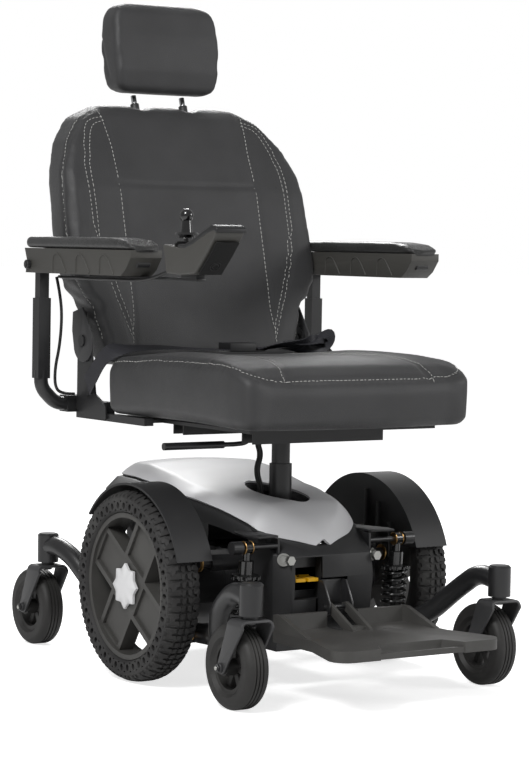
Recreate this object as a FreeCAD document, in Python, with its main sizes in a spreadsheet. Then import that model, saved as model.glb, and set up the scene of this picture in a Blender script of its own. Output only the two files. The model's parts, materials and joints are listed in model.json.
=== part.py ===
import FreeCAD, Part
import math
import os
import Sketcher
from FreeCAD import Rotation, Vector

# Power wheelchair: mid-wheel-drive base with six wheels, captain-style seat,
# flip-up arms with a joystick controller, and a flip-up footplate.
# Millimetres, +Z up, the chair faces -Y and +X is the occupant's left.
# The origin is on the floor, in the middle of the chair's length and width.

doc = FreeCAD.newDocument("power_wheelchair")
sheet = doc.addObject("Spreadsheet::Sheet", "Sizes")
sides = {"right": -1, "left": 1}
x_axis = Vector(1, 0, 0)
y_axis = Vector(0, 1, 0)
z_axis = Vector(0, 0, 1)


class Size:
    """A number that also carries the spreadsheet expression it came from."""

    def __init__(self, number, text=None):
        self.number = float(number)
        self.text = text or "(%r)" % self.number

    def combine(self, other, sign, number):
        return Size(number, "(%s %s %s)" % (self.text, sign, as_size(other).text))

    def __add__(self, other):
        return self.combine(other, "+", self.number + float(other))

    def __sub__(self, other):
        return self.combine(other, "-", self.number - float(other))

    def __mul__(self, other):
        return self.combine(other, "*", self.number * float(other))

    def __truediv__(self, other):
        return self.combine(other, "/", self.number / float(other))

    def __radd__(self, other):
        return as_size(other) + self

    def __rsub__(self, other):
        return as_size(other) - self

    def __rmul__(self, other):
        return as_size(other) * self

    def __neg__(self):
        return as_size(0) - self

    def __float__(self):
        return self.number


def as_size(value):
    return value if isinstance(value, Size) else Size(value)


cell_count = 0


def cell(name, value):
    """Put one driving size in the sheet and give it back with its expression."""
    global cell_count
    cell_count += 1
    sheet.set("A%d" % cell_count, name)
    sheet.set("B%d" % cell_count, str(value))
    sheet.setAlias("B%d" % cell_count, name)
    return Size(value, "Sizes." + name)


# --- driving sizes ---------------------------------------------------------

axle_y = cell("axle_y", -18)                      # drive axle, from the middle of the length
tyre_radius = cell("tyre_radius", 178)            # 14 inch drive wheels
tyre_width = cell("tyre_width", 66)
wheel_outer_x = cell("wheel_outer_x", 312)
rim_radius = cell("rim_radius", 136)
rim_lip = cell("rim_lip", 9)
spoke_width = cell("spoke_width", 86)
sidewall_hole_radius = cell("sidewall_hole_radius", 4.2)
sidewall_hole_count = cell("sidewall_hole_count", 44)
shaft_radius = cell("shaft_radius", 9)
running_gap = cell("running_gap", 0.05)
motor_radius = cell("motor_radius", 42)
motor_inner_x = cell("motor_inner_x", 114)
motor_outer_x = cell("motor_outer_x", 226)

caster_radius = cell("caster_radius", 76)         # 6 inch casters
caster_width = cell("caster_width", 46)
caster_rim_radius = cell("caster_rim_radius", 47)
caster_trail = cell("caster_trail", 43)
caster_axle_radius = cell("caster_axle_radius", 5)
fork_top_z = cell("fork_top_z", 165)
fork_plate = cell("fork_plate", 5)
fork_inner = cell("fork_inner", 29)
fork_stem_radius = cell("fork_stem_radius", 8)
barrel_radius = cell("barrel_radius", 21)
barrel_low_z = cell("barrel_low_z", 170.6)
barrel_top_z = cell("barrel_top_z", 224)
front_barrel_x = cell("front_barrel_x", 273.5)
front_barrel_y = cell("front_barrel_y", -379)
rear_barrel_x = cell("rear_barrel_x", 234)
rear_barrel_y = cell("rear_barrel_y", 432)
arm_tube_radius = cell("arm_tube_radius", 18.5)
front_pivot_y = cell("front_pivot_y", -97)
front_pivot_z = cell("front_pivot_z", 97)
rear_pivot_y = cell("rear_pivot_y", 150)
rear_pivot_z = cell("rear_pivot_z", 100)
upper_pin_z = cell("upper_pin_z", 225)
pivot_pin_radius = cell("pivot_pin_radius", 9)
sleeve_radius = cell("sleeve_radius", 17)
sleeve_inner_x = cell("sleeve_inner_x", 186)
sleeve_outer_x = cell("sleeve_outer_x", 221)

shock_x = cell("shock_x", 168)
shock_top_y = cell("shock_top_y", -200)
shock_top_z = cell("shock_top_z", 264)
shock_low_y = cell("shock_low_y", -188)
shock_low_z = cell("shock_low_z", 104)
shock_pin_radius = cell("shock_pin_radius", 5)
shock_eye_width = cell("shock_eye_width", 16)
coil_radius = cell("coil_radius", 21)
coil_wire = cell("coil_wire", 3.2)
coil_turns = cell("coil_turns", 6)

chassis_half = cell("chassis_half", 104)
chassis_front_y = cell("chassis_front_y", -205)
chassis_rear_y = cell("chassis_rear_y", 329)
chassis_low_z = cell("chassis_low_z", 70)
chassis_top_z = cell("chassis_top_z", 240)
chassis_plate = cell("chassis_plate", 4)
shroud_wall = cell("shroud_wall", 3)
shroud_half = cell("shroud_half", 110)
shroud_front_y = cell("shroud_front_y", -231)
shroud_rear_y = cell("shroud_rear_y", 346)
battery_width = cell("battery_width", 194)
battery_depth = cell("battery_depth", 130)
battery_height = cell("battery_height", 158)

post_y = cell("post_y", -53)
post_outer_radius = cell("post_outer_radius", 21.5)
post_inner_radius = cell("post_inner_radius", 17.5)
post_top_z = cell("post_top_z", 400)
seat_rail_half = cell("seat_rail_half", 146)
seat_rail_low_z = cell("seat_rail_low_z", 449)
seat_pan_z = cell("seat_pan_z", 476)
seat_half = cell("seat_half", 254)                # 20 inch wide seat
seat_front_y = cell("seat_front_y", -320)         # 20 inch deep seat
seat_rear_y = cell("seat_rear_y", 182)
seat_low_z = cell("seat_low_z", 485)

recline_y = cell("recline_y", 266)
recline_z = cell("recline_z", 621)
recline_radius = cell("recline_radius", 38)
plate_inner_x = cell("plate_inner_x", 247)
plate_thickness = cell("plate_thickness", 3.5)
back_half = cell("back_half", 270)
headrest_post_x = cell("headrest_post_x", 57)
headrest_post_radius = cell("headrest_post_radius", 5.5)
headrest_half = cell("headrest_half", 131)
back_lean = cell("back_lean", 17.7)               # degrees from upright

arm_x = cell("arm_x", 315)
arm_post_x = cell("arm_post_x", 319)
arm_post_y = cell("arm_post_y", 313)
arm_post_half = cell("arm_post_half", 10)
arm_socket_half = cell("arm_socket_half", 13)
arm_socket_z = cell("arm_socket_z", 703)
arm_elbow_z = cell("arm_elbow_z", 497)
arm_pivot_z = cell("arm_pivot_z", 768)
arm_half = cell("arm_half", 33)
pad_half = cell("pad_half", 35)
pad_low_z = cell("pad_low_z", 800)
pad_top_z = cell("pad_top_z", 822)
controller_x = cell("controller_x", -298)
controller_half = cell("controller_half", 31)
stick_y = cell("stick_y", -186)
stick_pivot_z = cell("stick_pivot_z", 815)

hinge_y = cell("hinge_y", -248)                   # footplate hinge
hinge_z = cell("hinge_z", 152)
hinge_pin_radius = cell("hinge_pin_radius", 5)
foot_front_y = cell("foot_front_y", -515)
foot_rear_y = cell("foot_rear_y", -256)
foot_low_z = cell("foot_low_z", 98)
foot_thickness = cell("foot_thickness", 20)
lever_y = cell("lever_y", -192)
lever_z = cell("lever_z", 201)
cable_radius = cell("cable_radius", 3)
doc.recompute()


# --- builders --------------------------------------------------------------

def bind(thing, prop, value):
    thing.setExpression(prop, as_size(value).text)


def place(thing, x, y, z, turn=None):
    """Put a thing's base at x, z and at y behind the drive axle."""
    if turn:
        thing.Placement = FreeCAD.Placement(Vector(0, 0, 0), turn)
    bind(thing, "Placement.Base.x", x)
    bind(thing, "Placement.Base.y", axle_y + y)
    bind(thing, "Placement.Base.z", z)
    return thing


def along(direction):
    return Rotation(z_axis, direction)


def rod(name, radius, length, at, direction=z_axis):
    thing = doc.addObject("Part::Cylinder", name)
    bind(thing, "Radius", radius)
    bind(thing, "Height", length)
    return place(thing, *at, turn=along(direction))


def cone(name, low_radius, top_radius, length, at, direction=z_axis):
    thing = doc.addObject("Part::Cone", name)
    bind(thing, "Radius1", low_radius)
    bind(thing, "Radius2", top_radius)
    bind(thing, "Height", length)
    return place(thing, *at, turn=along(direction))


def ball(name, radius, at):
    thing = doc.addObject("Part::Sphere", name)
    bind(thing, "Radius", radius)
    return place(thing, *at)


def block(name, low, high, turn=None):
    """A box between two corners; y is measured from the drive axle."""
    thing = doc.addObject("Part::Box", name)
    for prop, start, end in zip(("Length", "Width", "Height"), low, high):
        bind(thing, prop, as_size(end) - start)
    return place(thing, *low, turn=turn)


def join(name, *pieces):
    thing = doc.addObject("Part::MultiFuse", name)
    thing.Shapes = list(pieces)
    return thing


def cut(name, base, *tools):
    thing = doc.addObject("Part::Cut", name)
    thing.Base = base
    thing.Tool = tools[0] if len(tools) == 1 else join(name + "_tools", *tools)
    return thing


def common(name, first, second):
    thing = doc.addObject("Part::Common", name)
    thing.Base = first
    thing.Tool = second
    return thing


def group(name, *pieces):
    """Separate solids that belong to one node."""
    thing = doc.addObject("Part::Compound", name)
    thing.Links = list(pieces)
    return thing


def ring(name, outer, inner, length, at, direction=z_axis):
    """A tube: a cylinder with a bore that runs past both of its ends."""
    over = direction * -1
    start = [as_size(value) + shift for value, shift in zip(at, over)]
    bore = rod(name + "_bore", inner, as_size(length) + 2, start, direction)
    return cut(name, rod(name + "_blank", outer, length, at, direction), bore)


def body_plane(body, role):
    return [feature for feature in body.Origin.OriginFeatures if feature.Role == role][0]


def outline(sketch, points):
    """Closed outline. A point is (u, v), or (u, v, r) when the edge after it
    is an arc of radius r that bulges to the right of its travel (left if r < 0)."""
    count = len(points)
    for number, point in enumerate(points):
        start = Vector(float(point[0]), float(point[1]), 0)
        after = points[(number + 1) % count]
        end = Vector(float(after[0]), float(after[1]), 0)
        if len(point) == 3:
            bulge = float(point[2])
            chord = end - start
            half = chord.Length / 2
            right = Vector(chord.y, -chord.x, 0).normalize()
            if bulge < 0:
                right = right * -1
            reach = math.sqrt(max(bulge * bulge - half * half, 0))
            centre = (start + end) / 2 - right * reach
            first, last = (start, end) if bulge > 0 else (end, start)
            angles = [math.atan2(corner.y - centre.y, corner.x - centre.x)
                      for corner in (first, last)]
            circle = Part.Circle(centre, z_axis, abs(bulge))
            sketch.addGeometry(Part.ArcOfCircle(circle, *angles), False)
        else:
            sketch.addGeometry(Part.LineSegment(start, end), False)
    for number, point in enumerate(points):
        edge = sketch.Geometry[number]
        start_is_first = edge.StartPoint.distanceToPoint(
            Vector(float(point[0]), float(point[1]), 0)) < 0.001
        corner = 1 if start_is_first else 2
        for kind, value in (("DistanceX", point[0]), ("DistanceY", point[1])):
            index = sketch.addConstraint(Sketcher.Constraint(kind, number, corner, float(value)))
            sketch.setExpression("Constraints[%d]" % index, as_size(value).text)
        before = (number - 1) % count
        edge = sketch.Geometry[before]
        ends_here = edge.EndPoint.distanceToPoint(
            Vector(float(point[0]), float(point[1]), 0)) < 0.001
        sketch.addConstraint(
            Sketcher.Constraint("Coincident", before, 2 if ends_here else 1, number, corner))


def pad(name, plane, points, start, end):
    """A Body with one padded outline. Plane YZ pads along +X, XY along +Z and
    XZ along +Y; start and end are the two levels of the pad."""
    body = doc.addObject("PartDesign::Body", name)
    sketch = body.newObject("Sketcher::SketchObject", name + "_sketch")
    sketch.AttachmentSupport = [(body_plane(body, plane + "_Plane"), "")]
    sketch.MapMode = "FlatFace"
    outline(sketch, points)
    solid = body.newObject("PartDesign::Pad", name + "_pad")
    solid.Profile = sketch
    bind(solid, "Length", as_size(end) - start)
    solid.Reversed = plane == "XZ"
    shift = {"YZ": (start, 0, 0), "XY": (0, 0, start), "XZ": (0, start, 0)}[plane]
    return place(body, *shift)


def turned(name, points, at, direction_x=1):
    """A Body turned about its own X axis from an outline of (x, radius)."""
    body = doc.addObject("PartDesign::Body", name)
    sketch = body.newObject("Sketcher::SketchObject", name + "_sketch")
    sketch.AttachmentSupport = [(body_plane(body, "XZ_Plane"), "")]
    sketch.MapMode = "FlatFace"
    outline(sketch, points)
    solid = body.newObject("PartDesign::Revolution", name + "_turned")
    solid.Profile = sketch
    solid.ReferenceAxis = (sketch, ["H_Axis"])
    solid.Angle = 360
    body.Tip = solid
    turn = Rotation(z_axis, 180) if direction_x < 0 else None
    return place(body, *at, turn=turn)


def rounded_path(points):
    """Straight runs joined by tangent arcs, each as large as its runs allow."""
    corners = [Vector(float(x), float(y) + float(axle_y), float(z)) for x, y, z in points]
    edges = []
    radii = []
    last = corners[0]
    for before, corner, after in zip(corners, corners[1:], corners[2:]):
        run_in = corner - before
        run_out = after - corner
        half_turn = run_in.getAngle(run_out) / 2
        reach = 0.45 * min(run_in.Length, run_out.Length)
        radii.append(reach / math.tan(half_turn))
        arc_start = corner - run_in.normalize() * reach
        arc_end = corner + run_out.normalize() * reach
        to_centre = (run_out - run_in).normalize()
        depth = radii[-1] / math.cos(half_turn) - radii[-1]
        edges.append(Part.LineSegment(last, arc_start).toShape())
        edges.append(Part.Arc(arc_start, corner + to_centre * depth, arc_end).toShape())
        last = arc_end
    edges.append(Part.LineSegment(last, corners[-1]).toShape())
    return Part.Wire(edges), corners[1] - corners[0], radii


def tube(name, radius, points):
    """A round bar swept along a path of straight runs and tangent arcs."""
    wire, heading, radii = rounded_path(points)
    path = doc.addObject("Part::Feature", name + "_path")
    path.Shape = wire
    circle = doc.addObject("Part::Circle", name + "_section")
    bind(circle, "Radius", radius)
    place(circle, *points[0], turn=along(heading))
    thing = doc.addObject("Part::Sweep", name)
    thing.Sections = [circle]
    thing.Spine = (path, ["Edge%d" % (number + 1) for number in range(len(wire.Edges))])
    thing.Solid = True
    thing.Frenet = False
    doc.recompute()
    expected = math.pi * float(radius) ** 2 * wire.Length
    print("%s: length %.0f, radii %s, volume ratio %.3f" % (
        name, wire.Length, [round(value) for value in radii], thing.Shape.Volume / expected))
    return thing


def mirrored_x(side, low, high):
    """The x span of a piece between |x| = low and high, on one side."""
    return (low, high) if side > 0 else (-as_size(high), -as_size(low))


nodes = []


def node(thing, name=None):
    thing.Label = name or thing.Name
    nodes.append(thing)
    return thing


# --- base: chassis, motors, batteries --------------------------------------

def chassis_frame():
    """Welded plate tray with the pins that carry the arms, shocks and post."""
    outer = block("tray_outer", (-chassis_half, chassis_front_y, chassis_low_z),
                  (chassis_half, chassis_rear_y, chassis_top_z))
    inner = block("tray_inner",
                  (chassis_plate - chassis_half, chassis_front_y + chassis_plate,
                   chassis_low_z + chassis_plate),
                  (chassis_half - chassis_plate, chassis_rear_y - chassis_plate, chassis_top_z + 1))
    tray = cut("tray", outer, inner)
    pieces = [tray]
    post_seat = ring("post_socket", post_outer_radius + 5, post_outer_radius + running_gap,
                     chassis_top_z + 60 - chassis_low_z - chassis_plate,
                     (0, post_y, chassis_low_z + chassis_plate))
    pieces.append(post_seat)
    for level, height in (("low", 110), ("high", 230)):
        web = block("socket_web_" + level, (chassis_plate - chassis_half, post_y - 6, height),
                    (chassis_half - chassis_plate, post_y + 6, height + 8))
        pieces.append(cut("socket_brace_" + level, web,
                          rod("socket_gap_" + level, post_outer_radius + 2, 20,
                              (0, post_y, height - 5))))
    for side_name, side in sides.items():
        horn = pad("shock_horn_" + side_name, "YZ",
                   [(-205, 200), (-150, 200), (-184, 278), (-205, 278)],
                   *mirrored_x(side, chassis_half - chassis_plate, chassis_half))
        pieces.append(horn)
        for label, pin_y, pin_z, radius, reach in (
                ("front_pivot", front_pivot_y, front_pivot_z, pivot_pin_radius, sleeve_outer_x + 6),
                ("upper_pivot", front_pivot_y, upper_pin_z, pivot_pin_radius, sleeve_outer_x - 12),
                ("rear_pivot", rear_pivot_y, rear_pivot_z, pivot_pin_radius, sleeve_outer_x + 6),
                ("shock_mount", shock_top_y, shock_top_z, shock_pin_radius, as_size(196))):
            start, end = mirrored_x(side, chassis_half - 1, reach)
            pieces.append(rod("%s_pin_%s" % (label, side_name), radius, end - start,
                              (start, pin_y, pin_z), x_axis))
        for label, pin_y, pin_z in (("front", front_pivot_y, front_pivot_z),
                                    ("upper", front_pivot_y, upper_pin_z),
                                    ("rear", rear_pivot_y, rear_pivot_z)):
            start, end = mirrored_x(side, chassis_half - 1, sleeve_inner_x - 1)
            pieces.append(rod("%s_boss_%s" % (label, side_name), 15, end - start,
                              (start, pin_y, pin_z), x_axis))
        start, end = mirrored_x(side, 181, 202)
        pieces.append(rod("shock_knob_" + side_name, 12, end - start,
                          (start, shock_top_y, shock_top_z), x_axis))
        start, end = mirrored_x(side, chassis_half - 1, motor_inner_x)
        pieces.append(rod("motor_flange_" + side_name, motor_radius + 4, end - start,
                          (start, 0, tyre_radius), x_axis))
    pieces.append(rod("lever_pin", 3, 76, (2 - chassis_half, lever_y, lever_z), x_axis))
    frame = join("chassis_welded", *pieces)
    # slots for the freewheel levers in the tray's front plate
    slot = block("lever_slot", (-84, chassis_front_y - 1, 180),
                 (-18, chassis_front_y + chassis_plate + 1, 222))
    return cut("chassis_frame", frame, slot)


def cover_plan(inset):
    """Half-width of the base body along its length, as a closed outline."""
    half = [(24, -198), (92, -160), (112, -138), (134, -63), (151, 24), (157, 150),
            (152, 275), (120, 338)]
    right = [(-x + inset, y + (inset if y < 0 else 0) - (inset if y > 100 else 0)) for x, y in half]
    left = [(-x, y) for x, y in reversed(right)]
    return right[::-1] + left[::-1]


# top line of the cover from front to rear, as (y, z)
cover_crown = [(-198, 268), (-182, 292), (-160, 314), (-130, 335), (-40, 346), (57, 357),
               (150, 376), (230, 386), (300, 383), (338, 368)]
cover_skin = 4


def top_cover():
    """Moulded cover: a curved skin with an opening round the seat post."""
    upper = cover_crown
    lower = [(y, z - cover_skin - 1) for y, z in reversed(cover_crown)]
    skin = pad("cover_skin", "YZ", upper + lower, -195, 195)
    plan = pad("cover_plan", "XY", cover_plan(0), 240, 400)
    shell = common("cover_blank", skin, plan)
    hole = doc.addObject("Part::Ellipse", "post_opening")
    bind(hole, "MajorRadius", 95)
    bind(hole, "MinorRadius", 45)
    place(hole, 0, -38, 300, turn=Rotation(z_axis, 90))
    face = doc.addObject("Part::Extrusion", "post_opening_cutter")
    face.Base = hole
    face.DirMode = "Custom"
    face.Dir = z_axis
    face.LengthFwd = 120
    face.Solid = True
    return cut("top_cover", shell, face)


def base_shroud():
    """Charcoal body panels under the cover: nose, wings and rear skirt."""
    inset = 7
    under = [(y, z - cover_skin - 2) for y, z in cover_crown]
    wide = under + [(338, 305), (200, 285), (-110, 270), (-196, 250)]
    wing = common("wing_blank", pad("wing_side", "YZ", wide, -190, 190),
                  pad("wing_plan", "XY", cover_plan(inset), 230, 400))
    hollow_side = [(y, z - 2 - cover_skin - shroud_wall.number) for y, z in cover_crown]
    hollow_side = [(max(-192, y), z) for y, z in hollow_side] + [(335, 200), (-192, 200)]
    hollow = common("wing_hollow", pad("hollow_side", "YZ", hollow_side, -190, 190),
                    pad("hollow_plan", "XY", cover_plan(inset + shroud_wall.number), 190, 400))
    nose = pad("nose_outer", "YZ", [(-150, 122), (-150, 284), (-174, 281), (-198, 258), (shroud_front_y, 252),
                                    (shroud_front_y, 122)], -shroud_half, shroud_half)
    nose_gap = pad("nose_inner", "YZ",
                   [(-149, 121), (-149, 281), (-172, 278), (-196, 255),
                    (shroud_front_y + shroud_wall, 249),
                    (shroud_front_y + shroud_wall, 121)],
                   shroud_wall - shroud_half, shroud_half - shroud_wall)
    tail = block("tail_outer", (-shroud_half, 200, 120), (shroud_half, shroud_rear_y - 10, 330))
    tail_gap = block("tail_inner", (shroud_wall - shroud_half, 199, 119),
                     (shroud_half - shroud_wall, shroud_rear_y - 10 - shroud_wall, 331))
    shell = join("shroud_shell", cut("wing_shell", wing, hollow),
                 cut("nose_shell", nose, nose_gap), cut("tail_shell", tail, tail_gap))
    recess = block("lever_recess", (-84, shroud_front_y - 2, 166),
                   (-20, shroud_front_y + shroud_wall + 2, 244))
    post_gap = rod("shroud_post_gap", 50, 200, (0, post_y, 250))
    pin_gap = rod("shock_pin_gap", shock_pin_radius + 3, 2 * shroud_half + 20,
                  (-shroud_half - 10, shock_top_y, shock_top_z), x_axis)
    slot_x = (chassis_half - chassis_plate - 1.5, chassis_half + 1.5)
    horn_slots = []
    for side_name, side in sides.items():
        x = mirrored_x(side, *slot_x)
        horn_slots.append(block("nose_horn_slot_" + side_name, (x[0], -207, 248), (x[1], -176, 284)))
    return cut("base_shroud", shell, recess, post_gap, pin_gap, *horn_slots,
               block("bracket_gap", (-34, shroud_front_y - 1, 121),
                     (34, shroud_front_y + shroud_wall + 1, 206)))


def fenders():
    """Two mudguards: a band over the tread and an inner wall."""
    made = []
    for side_name, side in sides.items():
        band_x = mirrored_x(side, 229, 302)
        wall_x = mirrored_x(side, 229, 233)
        outer = rod("fender_outer_" + side_name, 191, band_x[1] - band_x[0],
                    (band_x[0], 0, tyre_radius), x_axis)
        gap_x = mirrored_x(side, 233, 303)
        gap = rod("fender_gap_" + side_name, 187, gap_x[1] - gap_x[0],
                  (gap_x[0], 0, tyre_radius), x_axis)
        bore = rod("fender_bore_" + side_name, 92, 90,
                   (as_size(band_x[0]) - 5, 0, tyre_radius), x_axis)
        keep = pad("fender_keep_" + side_name, "YZ",
                   [(-250, 244), (-60, 236), (60, 236), (150, 300), (250, 400), (-250, 400)],
                   band_x[0], band_x[1])
        shell = cut("fender_shell_" + side_name, outer, gap, bore)
        made.append(common("fender_" + side_name, shell, keep))
        # lugs that bolt the inner wall to the chassis
        lug_x = mirrored_x(side, chassis_half, 229)
        made[-1] = join("fender_fixed_" + side_name, made[-1],
                        block("fender_lug_" + side_name, (lug_x[0], 8, 234),
                              (lug_x[1], 34, 240)))
    return group("fenders", *made)


def drive_motors():
    """Gear-motors with their output shafts."""
    made = []
    for side_name, side in sides.items():
        start, end = mirrored_x(side, motor_inner_x, motor_outer_x)
        case = rod("motor_case_" + side_name, motor_radius, end - start,
                   (start, 0, tyre_radius), x_axis)
        start, end = mirrored_x(side, motor_outer_x - 30, motor_outer_x)
        gearbox = rod("gearbox_" + side_name, motor_radius + 10, end - start,
                      (start, 0, tyre_radius), x_axis)
        start, end = mirrored_x(side, motor_outer_x - 5, 299)
        shaft = rod("drive_shaft_" + side_name, shaft_radius, end - start,
                    (start, 0, tyre_radius), x_axis)
        made.append(join("motor_" + side_name, case, gearbox, shaft))
    return group("drive_motors", *made)


def power_pack():
    """Two sealed batteries and the motor controller on top of them."""
    low = chassis_low_z + chassis_plate + 1
    made = []
    for number, start in enumerate((58, 194)):
        case = block("battery_%d" % (number + 1), (-battery_width / 2, start, low),
                     (battery_width / 2, battery_depth + start, battery_height + low))
        made.append(case)
        for side in sides.values():
            made.append(rod("terminal_%d_%d" % (number + 1, side + 2), 6, 8,
                            (side * 70, start + 20, battery_height + low)))
    made.append(block("motor_controller", (-70, 90, battery_height + low + 9),
                      (70, 290, battery_height + low + 45)))
    return group("power_pack", *made)


def footplate_bracket():
    """Upright channel on the nose that carries the footplate's hinge pin."""
    back = block("bracket_back", (-27, -226, 128), (27, -222, 200))
    cheeks = []
    for side_name, side in sides.items():
        cheek = pad("bracket_cheek_" + side_name, "YZ",
                    [(-226, 130), (-222, 130), (-222, 200), (-240, 200), (-262, 160),
                     (-262, 142), (-248, 136)], *mirrored_x(side, 23, 27))
        cheeks.append(cheek)
    pin = rod("footplate_pin", hinge_pin_radius, 62, (-31, hinge_y, hinge_z), x_axis)
    foot = block("bracket_foot", (-27, -223, 128), (27, chassis_front_y, 134))
    return join("footplate_bracket", back, foot, pin, *cheeks)


def base_fasteners():
    """Zinc hexagon bolts on the nose and under the seat post."""
    made = []
    for side_name, side in sides.items():
        head = doc.addObject("Part::Prism", "nose_bolt_" + side_name)
        head.Polygon = 6
        bind(head, "Circumradius", 9)
        bind(head, "Height", 8)
        place(head, side * 96, shroud_front_y - 8, 240, turn=along(y_axis))
        made.append(head)
    return group("base_fasteners", *made)


def pivot_bushes():
    """Bronze thrust rings at the ends of the pivot pins."""
    made = []
    for side_name, side in sides.items():
        for label, y, z, near in (("front", front_pivot_y, front_pivot_z, 224),
                                  ("upper", front_pivot_y, upper_pin_z, 205),
                                  ("rear", rear_pivot_y, rear_pivot_z, 223.5)):
            start, end = mirrored_x(side, near, near + 3)
            made.append(ring("%s_bush_%s" % (label, side_name), 15.5,
                             pivot_pin_radius + running_gap,
                             end - start, (start, y, z), x_axis))
    return group("pivot_bushes", *made)


# --- wheels ----------------------------------------------------------------

def drive_tyre(side_name, side):
    """Solid tyre: rounded shoulders and a ring of holes in the sidewall."""
    shoulder = 15
    name = "drive_tyre_" + side_name
    body = turned(name, [(0, rim_radius), (tyre_width, rim_radius),
                         (tyre_width, tyre_radius - shoulder, shoulder),
                         (tyre_width - shoulder, tyre_radius),
                         (shoulder, tyre_radius, shoulder),
                         (0, tyre_radius - shoulder)],
                  (side * (wheel_outer_x - tyre_width), 0, tyre_radius), side)
    hole_sketch = body.newObject("Sketcher::SketchObject", name + "_hole_sketch")
    hole_sketch.AttachmentSupport = [(body_plane(body, "YZ_Plane"), "")]
    hole_sketch.MapMode = "FlatFace"
    bind(hole_sketch, "AttachmentOffset.Base.z", tyre_width)
    hole_sketch.addGeometry(Part.Circle(Vector(0, float(rim_radius) + 11, 0), z_axis,
                                        float(sidewall_hole_radius)), False)
    doc.recompute()
    hole = body.newObject("PartDesign::Pocket", name + "_hole")
    hole.Profile = hole_sketch
    hole.Length = 9
    doc.recompute()
    holes = body.newObject("PartDesign::PolarPattern", name + "_holes")
    holes.Originals = [hole]
    holes.Axis = (body_plane(body, "X_Axis"), [""])
    holes.Angle = 360
    bind(holes, "Occurrences", sidewall_hole_count)
    body.Tip = holes
    return body


def drive_rim(side_name, side):
    """Wheel disc with four broad spokes, each with a recessed panel."""
    name = "drive_rim_" + side_name
    inner_x = 254
    outer_x = 306
    x = mirrored_x(side, inner_x, outer_x)
    lip = ring(name + "_lip", rim_radius, rim_radius - rim_lip, outer_x - inner_x,
               (x[0], 0, tyre_radius), x_axis)
    web_x = mirrored_x(side, 270, 300)
    bars = []
    panels = []
    for number, angle in enumerate((33, 123)):
        turn = Rotation(x_axis, angle * -side)
        bar = doc.addObject("Part::Box", "%s_bar_%d" % (name, number))
        bind(bar, "Length", web_x[1] - web_x[0])
        bind(bar, "Width", 2 * rim_radius)
        bind(bar, "Height", spoke_width)
        corner = turn.multVec(Vector(0, -rim_radius.number, -spoke_width.number / 2))
        place(bar, web_x[0], corner.y, tyre_radius + corner.z, turn=turn)
        bars.append(bar)
        for end in (-1, 1):
            panel = doc.addObject("Part::Box", "%s_panel_%d_%d" % (name, number, end + 1))
            bind(panel, "Length", 8)
            bind(panel, "Width", 72)
            bind(panel, "Height", spoke_width - 20)
            start = 46 if end > 0 else -46 - 72
            corner = turn.multVec(Vector(0, start, 10 - spoke_width.number / 2))
            panel_x = mirrored_x(side, 294, 302)[0]
            place(panel, panel_x, corner.y, tyre_radius + corner.z, turn=turn)
            panels.append(panel)
    disc = rod(name + "_disc", rim_radius, web_x[1] - web_x[0], (web_x[0], 0, tyre_radius), x_axis)
    web = common(name + "_web", join(name + "_bars", *bars), disc)
    hub_x = mirrored_x(side, 248, 302)
    hub = rod(name + "_hub", 34, hub_x[1] - hub_x[0], (hub_x[0], 0, tyre_radius), x_axis)
    bore_x = mirrored_x(side, 240, 302.5)
    bore = rod(name + "_bore", shaft_radius + running_gap, bore_x[1] - bore_x[0],
               (bore_x[0], 0, tyre_radius), x_axis)
    return cut(name, join(name + "_cast", lip, web, hub), bore, *panels)


def hub_cap(side_name, side):
    """Eight-pointed cap over the axle nut."""
    name = "hub_cap_" + side_name
    points = []
    for number in range(16):
        radius = 30 if number % 2 == 0 else 26
        angle = math.pi * number / 8
        points.append((radius * math.cos(angle), radius * math.sin(angle) + tyre_radius))
    start, end = mirrored_x(side, 302.5, 313)
    return pad(name, "YZ", points, start, end)


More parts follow.
